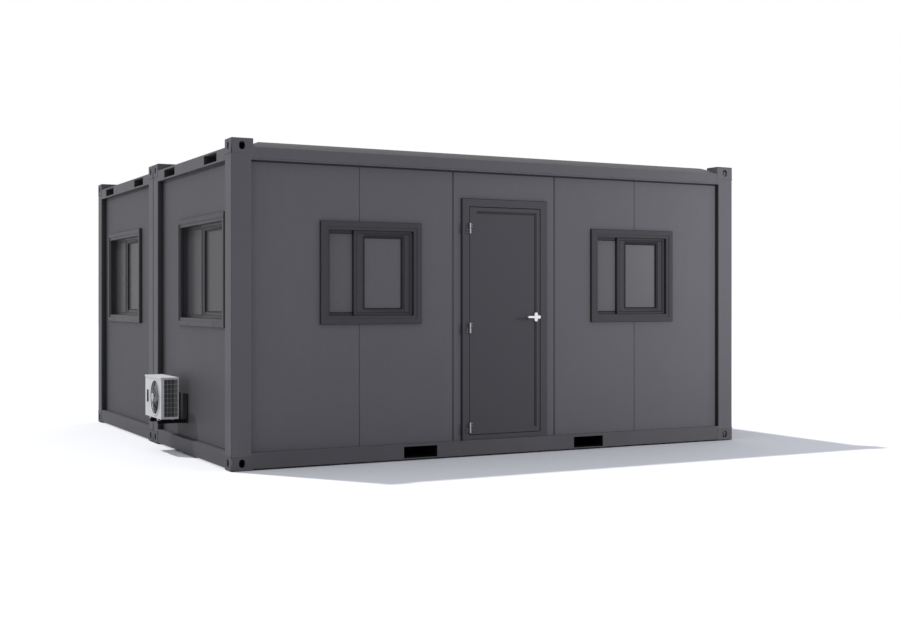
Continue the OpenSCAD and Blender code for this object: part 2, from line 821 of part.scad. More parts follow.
// Sliding sash on the right of its frame, in front of the mullion, stepped inwards to its glass
module window_sash(w, h, sash_w) {
    sash_h = h - 2 * trim_face;
    translate([w / 2 - trim_face - sash_w, sash_seat - sash_t, trim_face]) difference() {
        cube([sash_w, sash_t, sash_h]);
        sash_cut(sash_w, sash_h, sash_rim, sash_rim, sash_step);
        sash_cut(sash_w, sash_h, stile_face - glass_bead, sash_rail - glass_bead, 2 * sash_step);
        sash_cut(sash_w, sash_h, stile_face, sash_rail, sash_t + cut);
    }
}

// The fixed glass, and the glass of the sash, flush with its back
module window_panes(w, h, sash_w) {
    open_h = h - 2 * trim_face;
    light_r = w - trim_face - sash_w + stile_face;
    translate([-w / 2, 0, trim_face]) {
        translate([trim_face + bead_face, sash_seat + (fixed_d - glass_t) / 2, bead_face])
            cube([light_r - mullion_face - trim_face - bead_face, glass_t, open_h - 2 * bead_face]);
        translate([light_r, sash_seat - glass_t, sash_rail])
            cube([sash_w - 2 * stile_face, glass_t, open_h - 2 * sash_rail]);
    }
}

// Places of the windows
module at_front_windows() {
    for (x = [window_left_x, window_right_x]) translate([x, -wall_face_y, window_z]) children();
}

module at_end_windows() {
    for (y = [end_front_y, end_rear_y]) {
        translate([-wall_face_x, y, end_window_z]) rotate([0, 0, -90]) children();
        translate([wall_face_x, y, end_window_z]) rotate([0, 0, 90]) children();
    }
}

module front_window_frames() {
    color(trim_grey) at_front_windows() window_frame(window_w, window_h, front_sash_w);
}

module front_window_sashes() {
    color(trim_grey) at_front_windows() window_sash(window_w, window_h, front_sash_w);
}

module rear_window_frames() {
    color(trim_grey) rotate([0, 0, 180]) at_front_windows() window_frame(window_w, window_h, front_sash_w);
}

module rear_window_sashes() {
    color(trim_grey) rotate([0, 0, 180]) at_front_windows() window_sash(window_w, window_h, front_sash_w);
}

module end_window_frames() {
    color(trim_grey) at_end_windows() window_frame(end_window_w, end_window_h, end_sash_w);
}

module end_window_sashes() {
    color(trim_grey) at_end_windows() window_sash(end_window_w, end_window_h, end_sash_w);
}

module window_glass() {
    color(glass_grey) {
        for (turn = [0, 180]) rotate([0, 0, turn])
            at_front_windows() window_panes(window_w, window_h, front_sash_w);
        at_end_windows() window_panes(end_window_w, end_window_h, end_sash_w);
    }
}

// Door frame: trim on the panels, lining through the wall, threshold and a stop behind the leaf
module door_frame() {
    stop_y = leaf_back_y + leaf_gap;
    color(trim_grey) translate([door_x, 0, 0]) difference() {
        union() {
            block([-door_trim_w / 2, trim_front_y, bottom_rail_hi],
                [door_trim_w / 2, -wall_face_y, door_top]);
            block([-door_cut_w / 2, -wall_face_y, bottom_rail_hi],
                [door_cut_w / 2, -wall_back_y, door_cut_top]);
        }
        block([-door_open_w / 2, trim_front_y - cut, bottom_rail_hi + threshold_h],
            [door_open_w / 2, stop_y, door_open_top]);
        block([-door_open_w / 2 + door_stop, stop_y - cut, bottom_rail_hi + threshold_h],
            [door_open_w / 2 - door_stop, -wall_back_y + cut, door_open_top - door_stop]);
    }
}

module door_leaf() {
    field = [leaf_w - 2 * leaf_border, leaf_field_d + cut, leaf_hi - leaf_lo - 2 * leaf_border];
    color(trim_grey) difference() {
        block([door_x - leaf_w / 2, leaf_front_y, leaf_lo], [door_x + leaf_w / 2, leaf_back_y, leaf_hi]);
        for (y = [leaf_front_y - cut, leaf_back_y - leaf_field_d])
            translate([door_x - field[0] / 2, y, leaf_lo + leaf_border]) cube(field);
        translate([handle_x, leaf_front_y - cut, handle_z]) rotate([-90, 0, 0])
            cylinder(r = neck_r + neck_play, h = leaf_t + 2 * cut);
    }
}

// Each hinge: lower barrel with pin and flap on the trim, upper barrel and flap on the leaf
module at_hinges() {
    for (i = [0 : hinge_count - 1]) translate([hinge_x, hinge_y, hinge_low_z + i * hinge_step]) children();
}

module door_frame_hinges() {
    color(pale_metal) at_hinges() {
        translate([0, 0, -barrel_h]) cylinder(r = barrel_r, h = barrel_h);
        translate([0, 0, -barrel_h]) cylinder(r = pin_r, h = 2 * barrel_h);
        translate([-barrel_r, 0, -barrel_h]) cube([barrel_r, hinge_proud, barrel_h]);
        translate([-barrel_r - flap_w, hinge_proud - flap_t, -barrel_h]) cube([flap_w, flap_t, barrel_h]);
    }
}

module door_leaf_hinges() {
    reach = hinge_proud + leaf_recess;
    leaf_edge = leaf_gap / 2;
    color(pale_metal) at_hinges() difference() {
        union() {
            translate([0, 0, barrel_gap]) cylinder(r = barrel_r, h = barrel_h);
            translate([leaf_edge, 0, barrel_gap]) cube([barrel_r, reach, barrel_h]);
            translate([leaf_edge, reach - flap_t, barrel_gap]) cube([barrel_r + flap_w, flap_t, barrel_h]);
        }
        translate([0, 0, -barrel_h]) cylinder(r = pin_r + pin_play, h = 3 * barrel_h);
    }
}

// Plates on both faces of the leaf, bored for the lever's neck
module door_handle_plates() {
    color(pale_metal) for (y = [leaf_front_y - plate_t, leaf_back_y]) difference() {
        translate([handle_x, y, handle_z]) rotate([-90, 0, 0])
            linear_extrude(plate_t) rotate(90) stadium(plate_h, plate_w);
        translate([handle_x, y - cut, handle_z]) rotate([-90, 0, 0])
            cylinder(r = neck_r + neck_play, h = plate_t + 2 * cut);
    }
}

// One lever arm, pointing to the hinges, from a round boss on the axis to a round tip
module lever_arm() {
    rotate([-90, 0, 0]) linear_extrude(lever_t) {
        circle(lever_boss_r);
        translate([-(lever_len - lever_h / 2) / 2, 0]) stadium(lever_len + lever_h / 2, lever_h);
    }
}

// The spindle through the leaf with a lever on each side
module door_lever() {
    start = leaf_front_y - plate_t - neck_len;
    color("white") translate([handle_x, start, handle_z]) {
        rotate([-90, 0, 0]) cylinder(r = neck_r, h = lever_span);
        translate([0, -lever_t, 0]) lever_arm();
        translate([0, lever_span, 0]) lever_arm();
    }
}

// Casing of the condenser with lid and feet, open at the fan, at the near side and at the back
module condenser_casing() {
    color(pale_metal) {
        difference() {
            block([cond_x, cond_y, cond_z], [cond_x + cond_d, cond_y + cond_w, cond_z + cond_h]);
            block([cond_x + cond_wall, cond_y + cond_wall, cond_in_lo],
                [cond_x + cond_d + cut, cond_y + cond_w - cond_wall, cond_in_hi]);
            fan_axis(cond_x - cut) cylinder(r = fan_hole_r, h = cond_wall + 2 * cut);
            block([guard_x_lo, cond_y - cut, guard_z_lo], [guard_x_hi, cond_y + cond_wall + cut, guard_z_hi]);
        }
        block([cond_x - lid_lap, cond_y - lid_lap, cond_in_hi],
            [cond_x + cond_d, cond_y + cond_w + lid_lap, cond_z + cond_h]);
        condenser_lid_rim();
        condenser_front_lip();
        for (y = bracket_mids) for (x = [cond_x + cond_wall, cond_x + cond_d - cond_wall - cond_foot_len])
            translate([x, y - bracket_w / 2, cond_z - cond_foot_h])
                cube([cond_foot_len, bracket_w, cond_foot_h]);
    }
}

// Rim of the lid, round the fan face and both sides
module condenser_lid_rim() {
    difference() {
        block([cond_x - lid_lap, cond_y - lid_lap, cond_z + cond_h - lid_h],
            [cond_x + cond_d, cond_y + cond_w + lid_lap, cond_in_hi]);
        block([cond_x, cond_y, cond_z], [cond_x + cond_d + cut, cond_y + cond_w, cond_in_hi + cut]);
    }
}

// Raised lip round the fan hole, and the upright grip beside it
module condenser_front_lip() {
    fan_axis(cond_x - fan_lip_h) difference() {
        cylinder(r = fan_hole_r + fan_lip_w, h = fan_lip_h);
        translate([0, 0, -cut]) cylinder(r = fan_hole_r, h = fan_lip_h + 2 * cut);
    }
    grip_y = (fan_y + fan_hole_r + fan_lip_w + cond_y + cond_w) / 2;
    translate([cond_x - grip_h, grip_y, fan_z]) rotate([0, 90, 0])
        linear_extrude(grip_h) stadium(grip_len, grip_w);
}

// Places a turned shape on the fan's axis, its foot at an X and its top towards the wall
module fan_axis(x) {
    translate([x, fan_y, fan_z]) rotate([0, 90, 0]) children();
}

// Outline of the fan guard: rings on spokes round a middle disc
module guard_outline() {
    pitch = (fan_hole_r - hub_r) / guard_rings;
    circle(hub_r);
    for (i = [1 : guard_rings]) difference() {
        circle(hub_r + i * pitch);
        circle(hub_r + i * pitch - guard_bar);
    }
    for (i = [0 : guard_spokes - 1]) rotate(i * 360 / guard_spokes)
        translate([hub_r / 2, -guard_bar / 2]) square([fan_hole_r - (hub_r + guard_bar) / 2, guard_bar]);
}

// Guard in the fan hole: its outline cut from a shallow dome
module condenser_fan_guard() {
    color(pale_metal) fan_axis(cond_x) intersection() {
        translate([0, 0, -guard_rise - cut]) linear_extrude(guard_rise + 2 * guard_bar) guard_outline();
        translate([0, 0, dome_mid]) difference() {
            sphere(dome_r, $fn = 144);
            sphere(dome_r - guard_bar, $fn = 144);
        }
    }
}

// Grid in the near side of the casing
module condenser_side_guard() {
    col_step = (guard_x_hi - guard_x_lo - guard_bar) / (side_guard_cols - 1);
    row_step = (guard_z_hi - guard_z_lo - guard_bar) / (side_guard_rows - 1);
    color(pale_metal) {
        for (i = [0 : side_guard_cols - 1]) translate([guard_x_lo + i * col_step, cond_y, guard_z_lo])
            cube([guard_bar, guard_bar, guard_z_hi - guard_z_lo]);
        for (i = [0 : side_guard_rows - 1]) translate([guard_x_lo, cond_y, guard_z_lo + i * row_step])
            cube([guard_x_hi - guard_x_lo, guard_bar, guard_bar]);
    }
}

// Finned coil along the back of the casing and round to the near side
module condenser_coil() {
    near = cond_y + cond_wall + guard_bar;
    far = cond_y + cond_w - cond_wall;
    back = coil_front + coil_t;
    color(dark_metal) translate([0, 0, cond_in_lo]) linear_extrude(cond_in_hi - cond_in_lo) difference() {
        union() {
            translate([coil_front, near]) square([coil_t, far - near]);
            translate([guard_x_lo, near]) square([back - guard_x_lo, coil_t]);
        }
        for (y = [near + fin_pitch : fin_pitch : far - fin_pitch])
            translate([back - fin_d, y]) square([fin_d + cut, fin_gap]);
        for (x = [guard_x_lo + fin_pitch : fin_pitch : back - 2 * fin_pitch])
            translate([x, near - cut]) square([fin_gap, fin_d + cut]);
    }
}

// Fan motor with its shaft, on an upright bar between casing floor and top
module condenser_motor() {
    color(dark_metal) {
        fan_axis(motor_front) cylinder(r = motor_r, h = motor_len);
        fan_axis(fan_front) cylinder(r = shaft_r, h = fan_d + 2 * fan_gap);
        block([motor_front + motor_len / 2, fan_y - motor_bar / 2, cond_in_lo],
            [motor_front + motor_len, fan_y + motor_bar / 2, cond_in_hi]);
    }
}

// One round blade: a pitched plate cut to a circle that runs from the hub to the fan's rim
module fan_blade() {
    intersection() {
        translate([fan_r - blade_r, 0, 0]) cylinder(r = blade_r, h = fan_d);
        translate([0, 0, fan_d / 2]) rotate([blade_pitch, 0, 0])
            translate([0, -fan_r, -blade_t / 2]) cube([fan_r, 2 * fan_r, blade_t]);
    }
}

// Hub and pitched blades
module condenser_fan() {
    color(dark_metal) fan_axis(fan_front) difference() {
        union() {
            cylinder(r = hub_r, h = fan_d);
            for (i = [0 : blade_count - 1]) rotate(i * 360 / blade_count) fan_blade();
        }
        translate([0, 0, -cut]) cylinder(r = shaft_r + shaft_play, h = fan_d + 2 * cut);
    }
}

// Wall brackets: an arm under the feet and an upright plate on the panel behind the casing
module condenser_brackets() {
    wall = -wall_face_x;
    arm_hi = cond_z - cond_foot_h;
    arm_lo = arm_hi - bracket_arm_h;
    color(dark_metal) for (y = bracket_mids) {
        block([cond_x + cond_wall, y - bracket_w / 2, arm_lo], [wall, y + bracket_w / 2, arm_hi]);
        block([wall - bracket_t, y - bracket_leg_w / 2, arm_lo],
            [wall, y + bracket_leg_w / 2, arm_hi + bracket_leg]);
    }
}

bottom_castings();
top_castings();
corner_posts();
front_bottom_rail();
rear_bottom_rail();
middle_bottom_rails();
end_bottom_rails();
front_top_rail();
rear_top_rail();
middle_top_rails();
end_top_rails();
fork_pockets();
floor_joists();
floor_decks();
floor_joint_strip();
ceiling_panels();
roof_pans();
roof_joint_cover();
joint_seals();
front_wall_panels();
door_side_panels();
door_header_panel();
rear_wall_panels();
left_wall_panels();
right_wall_panels();
front_window_frames();
front_window_sashes();
rear_window_frames();
rear_window_sashes();
end_window_frames();
end_window_sashes();
window_glass();
door_frame();
door_frame_hinges();
door_leaf();
door_leaf_hinges();
door_handle_plates();
door_lever();
condenser_casing();
condenser_fan_guard();
condenser_side_guard();
condenser_coil();
condenser_motor();
condenser_fan();
condenser_brackets();
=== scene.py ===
"""Looks of the modular site cabin, built round its CAD frame. Metres, +Z up, front at -Y."""

import json
import logging
import math
from dataclasses import dataclass, replace
from enum import Enum
from typing import Iterable, Optional, Sequence

import bmesh
import bpy
from mathutils import Matrix, Vector

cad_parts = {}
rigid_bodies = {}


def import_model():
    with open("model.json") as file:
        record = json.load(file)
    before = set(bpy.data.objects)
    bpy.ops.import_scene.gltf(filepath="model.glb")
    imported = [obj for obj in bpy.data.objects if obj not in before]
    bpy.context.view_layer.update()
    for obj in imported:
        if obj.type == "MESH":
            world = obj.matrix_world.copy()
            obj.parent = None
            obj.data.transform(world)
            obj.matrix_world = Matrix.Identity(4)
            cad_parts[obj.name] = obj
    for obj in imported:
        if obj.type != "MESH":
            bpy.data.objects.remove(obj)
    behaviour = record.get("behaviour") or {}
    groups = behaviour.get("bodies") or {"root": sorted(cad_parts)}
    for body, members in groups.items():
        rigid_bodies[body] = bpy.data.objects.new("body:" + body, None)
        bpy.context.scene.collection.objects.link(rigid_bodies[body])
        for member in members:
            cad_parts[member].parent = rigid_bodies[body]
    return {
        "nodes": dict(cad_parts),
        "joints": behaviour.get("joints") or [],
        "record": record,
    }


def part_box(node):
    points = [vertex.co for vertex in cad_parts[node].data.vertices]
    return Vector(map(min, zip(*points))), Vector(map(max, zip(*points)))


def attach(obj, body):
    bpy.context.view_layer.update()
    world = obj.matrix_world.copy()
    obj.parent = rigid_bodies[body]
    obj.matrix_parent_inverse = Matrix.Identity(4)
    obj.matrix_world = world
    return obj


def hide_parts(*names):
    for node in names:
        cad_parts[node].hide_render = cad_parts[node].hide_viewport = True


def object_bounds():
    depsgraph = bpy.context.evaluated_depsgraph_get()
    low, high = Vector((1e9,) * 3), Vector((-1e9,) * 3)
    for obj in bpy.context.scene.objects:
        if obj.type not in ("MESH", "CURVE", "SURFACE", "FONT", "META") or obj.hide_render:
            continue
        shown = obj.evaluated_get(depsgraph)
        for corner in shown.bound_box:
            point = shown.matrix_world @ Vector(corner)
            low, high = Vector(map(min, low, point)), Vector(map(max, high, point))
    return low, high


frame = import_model()
CAD_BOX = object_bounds()

Colour = tuple[float, float, float]
Place = tuple[float, float, float]
Box = tuple[Vector, Vector]
Span = tuple[float, float]
Outline = Sequence[tuple[float, float]]
Values = dict[str, object]
Socket = bpy.types.NodeSocket

LOG = logging.getLogger("site_cabin")
UP = Vector((0.0, 0.0, 1.0))
SAME_PLACE = 1e-5
HAIR = 0.0005
FLAT_ANGLE = math.radians(0.5)
CORNER_ANGLE = math.radians(30)
SHARP_ANGLE = math.radians(35)
WEIGHTED_ANGLE = math.radians(50)


def middle_of(box: Box) -> Vector:
    """The middle of a box."""
    return (box[0] + box[1]) / 2


def about(level: float, reach: Span) -> Span:
    """A reach that is given from a level."""
    return level + reach[0], level + reach[1]


def steps_between(low: float, high: float, count: int) -> list[float]:
    """Places at equal steps from one to another, both ends included."""
    return [low + (high - low) * k / (count - 1) for k in range(count)]


def square_to(axis: Vector) -> tuple[Vector, Vector]:
    """Two ways across an axis, square to each other."""
    across = axis.orthogonal().normalized()
    return across, axis.cross(across).normalized()


def circle(middle: Vector, ways: tuple[Vector, Vector], radius: float, count: int) -> list[Vector]:
    """Places round a circle.

    Args:
        middle: Its middle.
        ways: Two ways across its axis.
        radius: Its radius; 0 gives the middle alone.
        count: How many places.

    Returns:
        The places, in turn.
    """
    if radius <= 0:
        return [middle]
    turns = (2 * math.pi * k / count for k in range(count))
    return [middle + radius * (ways[0] * math.cos(t) + ways[1] * math.sin(t)) for t in turns]


class Side(Enum):
    """The four walls: the way along each, seen from outside, and the way out of it."""

    FRONT = ((1, 0, 0), (0, -1, 0))
    REAR = ((-1, 0, 0), (0, 1, 0))
    LEFT = ((0, -1, 0), (-1, 0, 0))
    RIGHT = ((0, 1, 0), (1, 0, 0))

    @property
    def run(self) -> Vector:
        """The way along the wall, to the right as seen from outside."""
        return Vector(self.value[0])

    @property
    def out(self) -> Vector:
        """The way out of the wall."""
        return Vector(self.value[1])

    @property
    def is_end(self) -> bool:
        """Whether the wall is an end of the cabin and not a long wall."""
        return self in (Side.LEFT, Side.RIGHT)

    @property
    def face(self) -> float:
        """How far out the outer face of the wall's panels lies."""
        return WallRect.of(self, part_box(self.node("wall_panels"))).face

    def node(self, kind: str) -> str:
        """The name of the wall's CAD node of a kind, such as wall_panels."""
        return f"{self.name.lower()}_{kind}"

    def point(self, along: float, height: float, proud: float) -> Vector:
        """A place given along the wall, above the ground and out from the middle of the cabin."""
        return self.run * along + self.out * proud + UP * height

    @classmethod
    def facing(cls, box: Box) -> "Side":
        """The wall that an upright thin solid stands in.

        Args:
            box: Lowest and highest corner of the solid.

        Returns:
            The wall.
        """
        size, middle = box[1] - box[0], middle_of(box)
        if size.x < size.y:
            return cls.LEFT if middle.x < 0 else cls.RIGHT
        return cls.FRONT if middle.y < 0 else cls.REAR


@dataclass(frozen=True)
class WallRect:
    """An upright rectangle on a wall, with the depths of its back and its face."""

    side: Side
    left: float
    right: float
    foot: float
    head: float
    back: float
    face: float

    @classmethod
    def of(cls, side: Side, box: Box) -> "WallRect":
        """The rectangle that a solid's box covers on a wall.

        Args:
            side: The wall.
            box: Lowest and highest corner of the solid.

        Returns:
            The rectangle.
        """
        along = sorted(corner.dot(side.run) for corner in box)
        out = sorted(corner.dot(side.out) for corner in box)
        return cls(side, *along, box[0].z, box[1].z, *out)

    def grown(self, by: float) -> "WallRect":
        """The same rectangle, larger by a margin all round."""
        return replace(self, left=self.left - by, right=self.right + by,
                       foot=self.foot - by, head=self.head + by)

    def corners(self, depth: float) -> list[Vector]:
        """The four corners at a depth, in turn."""
        return [self.side.point(along, height, depth) for along, height in (
            (self.left, self.foot), (self.right, self.foot),
            (self.right, self.head), (self.left, self.head))]


@dataclass(frozen=True)
class Rounding:
    """How edges are rounded; those up to the shortest length stay sharp, such as a hole's facets."""

    width: float
    steps: int = 2
    shortest: float = 0.0


class MeshMaker:
    """Collects the solids of one piece in a mesh."""

    ripple_step: int = 4

    def __init__(self, mesh: Optional[bmesh.types.BMesh] = None) -> None:
        """Starts with a mesh, or with an empty one."""
        self.mesh = bmesh.new() if mesh is None else mesh

    def bevel(self, edges: Iterable[bmesh.types.BMEdge], width: float, steps: int = 2) -> None:
        """Rounds some edges, where there is a width to round them by."""
        if width > 0:
            bmesh.ops.bevel(self.mesh, geom=list(edges), offset=width, segments=steps, profile=0.5,
                            affect="EDGES", clamp_overlap=True)

    def _round(self, corners: Iterable[bmesh.types.BMVert], width: float, steps: int = 2) -> None:
        """Rounds all edges between some corners."""
        self.bevel({edge for corner in corners for edge in corner.link_edges}, width, steps)

    def box(self, a: Sequence[float], b: Sequence[float], soft: float = 0.0, steps: int = 2) -> None:
        """Adds a box between two opposite corners.

        Args:
            a: One corner.
            b: The opposite corner.
            soft: Width of its rounded edges.
            steps: Faces across each rounded edge.
        """
        a, b = Vector(a), Vector(b)
        size = Vector(abs(length) for length in b - a)
        place = Matrix.LocRotScale((a + b) / 2, None, size)
        self._round(bmesh.ops.create_cube(self.mesh, size=1.0, matrix=place)["verts"], soft, steps)

    def bar(self, side: Side, along: Span, height: Span, depth: Span, soft: float, steps: int = 2) -> None:
        """Adds a box on a wall, from its reach along the wall, above the ground and out of the wall."""
        a, b = (side.point(along[k], height[k], depth[k]) for k in (0, 1))
        self.box(a, b, soft, steps)

    def skin(self, rings: Sequence[Sequence[Vector]], closed: bool = False) -> list[list[bmesh.types.BMVert]]:
        """Adds a solid whose skin runs over rings of places.

        Args:
            rings: The rings, in turn; a ring of one place is a tip.
            closed: Whether the last ring joins the first, so that there are no ends to shut.

        Returns:
            The corners of each ring.
        """
        made = [[self.mesh.verts.new(place) for place in ring] for ring in rings]
        for a, b in zip(made, made[1:] + made[:1] if closed else made[1:]):
            count = max(len(a), len(b))
            for k in range(count):
                n = (k + 1) % count
                quad = (a[k % len(a)], a[n % len(a)], b[n % len(b)], b[k % len(b)])
                self.mesh.faces.new(list(dict.fromkeys(quad)))
        for end in () if closed else (made[0][::-1], made[-1]):
            if len(end) > 1:
                self.mesh.faces.new(end)
        return made

    def band(self, rect: WallRect, inner: WallRect, depth: Span, soft: float = 0.0) -> None:
        """Adds a flat mitred ring on a wall.

        Args:
            rect: Its outside.
            inner: Its opening.
            depth: Depths of its back and its face.
            soft: Width of its rounded edges.
        """
        back, face = depth
        loops = self.skin([rect.corners(back), rect.corners(face), inner.corners(face), inner.corners(back)],
                          closed=True)
        self._round([corner for loop in loops for corner in loop], soft)

    def tube(self, points: Sequence[Vector], radius: float, sides: int = 8, closed: bool = False,
             ripple: float = 0.0) -> None:
        """Adds a round bar along a path.

        Args:
            points: The path.
            radius: Radius of the bar.
            sides: Faces round it.
            closed: Whether the path meets itself.
            ripple: Share by which the radius swells and shrinks, as in a weld bead.
        """
        rings = []
        count = len(points)
        across = (points[1] - points[0]).normalized().orthogonal().normalized()
        for k, point in enumerate(points):
            before = points[k - 1] if k or closed else point
            after = points[(k + 1) % count] if k < count - 1 or closed else point
            along = (after - before).normalized()
            across = (across - along * across.dot(along)).normalized()
            size = radius * (1 + ripple * math.cos(2 * math.pi * k / self.ripple_step))
            rings.append(circle(point, (across, along.cross(across)), size, sides))
        self.skin(rings, closed)

    def lathe(self, foot: Sequence[float], axis: Vector, outline: Outline, steps: int = 32) -> None:
        """Adds a turned solid, from radii and distances along its axis; a radius of 0 makes a tip."""
        ways = square_to(axis)
        self.skin([circle(Vector(foot) + axis * along, ways, radius, steps) for radius, along in outline])

    def publish(self, name: str, finish: "Finish", replaces: Sequence[str] = (), body: str = "cabin",
                weighted: bool = False) -> None:
        """Turns the mesh into a piece of the cabin.

        Args:
            name: The piece's name.
            finish: Its finish.
            replaces: CAD nodes it stands for.
            body: The CAD body it rides on.
            weighted: Whether large flat faces keep their own shading up to rounded edges.
        """
        bmesh.ops.recalc_face_normals(self.mesh, faces=self.mesh.faces)
        mesh = bpy.data.meshes.new(name)
        self.mesh.to_mesh(mesh)
        self.mesh.free()
        mesh.shade_smooth()
        mesh.set_sharp_from_angle(angle=WEIGHTED_ANGLE if weighted else SHARP_ANGLE)
        mesh.materials.append(finish.material())
        piece = in_scene(name, mesh)
        if weighted:
            piece.modifiers.new("flat_faces", "WEIGHTED_NORMAL").keep_sharp = True
        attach(piece, body)
        if replaces:
            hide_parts(*replaces)
        LOG.info("%s rides on %s, %d faces", name, body, len(mesh.polygons))


def in_scene(name: str, data: bpy.types.ID) -> bpy.types.Object:
    """Puts a new object in the scene.

    Args:
        name: Its name.
        data: Its mesh, lamp or camera.

    Returns:
        The object.
    """
    thing = bpy.data.objects.new(name, data)
    bpy.context.scene.collection.objects.link(thing)
    return thing


def welded(node: str) -> bmesh.types.BMesh:
    """A copy of a CAD node's mesh with its corners joined.

    Args:
        node: The CAD node.

    Returns:
        The mesh.
    """
    mesh = bmesh.new()
    mesh.from_mesh(frame["nodes"][node].data)
    bmesh.ops.remove_doubles(mesh, verts=mesh.verts, dist=SAME_PLACE)
    return mesh


def rounded(node: str, finish: "Finish", edges: Rounding, body: str = "cabin", name: str = "") -> None:
    """Puts a piece with rounded edges in a CAD node's place.

    Args:
        node: The CAD node.
        finish: The piece's finish.
        edges: How its edges are rounded.
        body: The CAD body it rides on.
        name: Its name, where that isn't the node's with rounded before it.
    """
    mesh = welded(node)
    bmesh.ops.dissolve_limit(mesh, angle_limit=FLAT_ANGLE, verts=mesh.verts, edges=mesh.edges)
    maker = MeshMaker(mesh)
    maker.bevel([edge for edge in mesh.edges
                 if len(edge.link_faces) == 2 and edge.calc_length() > edges.shortest
                 and edge.calc_face_angle() > CORNER_ANGLE], edges.width, edges.steps)
    maker.publish(name or f"rounded_{node}", finish, [node], body, weighted=True)


def solids_of(node: str) -> list[Box]:
    """The boxes of a CAD node's separate solids.

    Args:
        node: The CAD node.

    Returns:
        Lowest and highest corner of each solid, in order of X, then Y, then Z.
    """
    mesh = welded(node)
    left = set(mesh.verts)
    boxes = []
    while left:
        group = [left.pop()]
        for vert in group:
            near = {edge.other_vert(vert) for edge in vert.link_edges} & left
            left -= near
            group += near
        boxes.append(tuple(Vector(pick(v.co[k] for v in group) for k in range(3)) for pick in (min, max)))
    mesh.free()
    return sorted(boxes, key=lambda box: tuple(round(c, 3) for c in box[0]))


class Sheet:
    """A shader node tree with short ways to add and join nodes."""

    def __init__(self, tree: bpy.types.NodeTree) -> None:
        """Keeps the tree."""
        self.tree = tree

    @classmethod
    def of(cls, owner: bpy.types.ID) -> "Sheet":
        """The emptied nodes of a material or a world.

        Args:
            owner: The material or world.

        Returns:
            The sheet.
        """
        owner.use_nodes = True
        owner.node_tree.nodes.clear()
        return cls(owner.node_tree)

    def add(self, kind: str, settings: Optional[Values] = None, **inputs: object) -> bpy.types.Node:
        """Adds a node.

        Args:
            kind: The node's type without its ShaderNode prefix.
            settings: Attributes of the node.
            inputs: Values or sockets for its inputs, with _ for a blank in the name, or iN for the Nth.

        Returns:
            The node.
        """
        node = self.tree.nodes.new("ShaderNode" + kind)
        for name, value in (settings or {}).items():
            setattr(node, name, value)
        for name, value in inputs.items():
            by_number = name[0] == "i" and name[1:].isdigit()
            socket = node.inputs[int(name[1:]) if by_number else name.replace("_", " ")]
            if isinstance(value, Socket):
                self.tree.links.new(value, socket)
            else:
                socket.default_value = (*value, 1.0) if socket.type == "RGBA" else value
        return node

    def effect(self, name: str, **inputs: object) -> bpy.types.Node:
        """Places a shared effect, with values or sockets for its inputs."""
        return self.add("Group", {"node_tree": Effect.group(name)}, **inputs)

    def maths(self, operation: str, *values: object) -> Socket:
        """The result of a sum on numbers or sockets."""
        inputs = {f"i{k}": value for k, value in enumerate(values)}
        return self.add("Math", {"operation": operation}, **inputs).outputs[0]

    def times(self, a: object, b: object) -> Socket:
        """The product of two numbers or sockets."""
        return self.maths("MULTIPLY", a, b)

    def dot(self, a: Socket, b: Socket) -> Socket:
        """How far two directions agree."""
        return self.add("VectorMath", {"operation": "DOT_PRODUCT"}, i0=a, i1=b).outputs["Value"]

    def blend(self, share: object, a: object, b: object, way: str = "MIX") -> Socket:
        """The mix of two colours by a share."""
        return self.add("Mix", {"data_type": "RGBA", "blend_type": way}, i0=share, i6=a, i7=b).outputs[2]

    def ramp(self, value: Socket, low: float, high: float) -> Socket:
        """A value stretched so that low gives 0 and high gives 1."""
        return self.add("MapRange", {"clamp": True}, Value=value, From_Min=low, From_Max=high).outputs[0]

    def place(self, scale: Place = (1.0, 1.0, 1.0)) -> Socket:
        """Places on the object, stretched."""
        where = self.add("TexCoord").outputs["Object"]
        return self.add("Mapping", Vector=where, Scale=scale).outputs[0]

    def axes(self) -> bpy.types.bpy_prop_collection:
        """The X, Y and Z of places on the object."""
        return self.add("SeparateXYZ", Vector=self.place()).outputs

    def noise(self, where: Socket, scale: object, detail: float, rough: float = 0.5) -> Socket:
        """Cloudy values from 0 to 1."""
        return self.add("TexNoise", Vector=where, Scale=scale, Detail=detail, Roughness=rough).outputs[0]

    def mixed(self, kind: str, lit: bpy.types.Node, seen: bpy.types.Node) -> None:
        """Ends in one shader for light on the object, and one for what the camera sees, also through glass.

        Args:
            kind: The output node's type.
            lit: The shader that lights the object.
            seen: The shader that the camera sees, also mirrored.
        """
        path = self.add("LightPath").outputs
        looks = self.maths("MAXIMUM", path["Is Camera Ray"],
                           self.maths("MAXIMUM", path["Is Glossy Ray"], path["Is Transmission Ray"]))
        both = self.add("MixShader", i0=looks, i1=lit.outputs[0], i2=seen.outputs[0])
        self.add(kind, Surface=both.outputs[0])


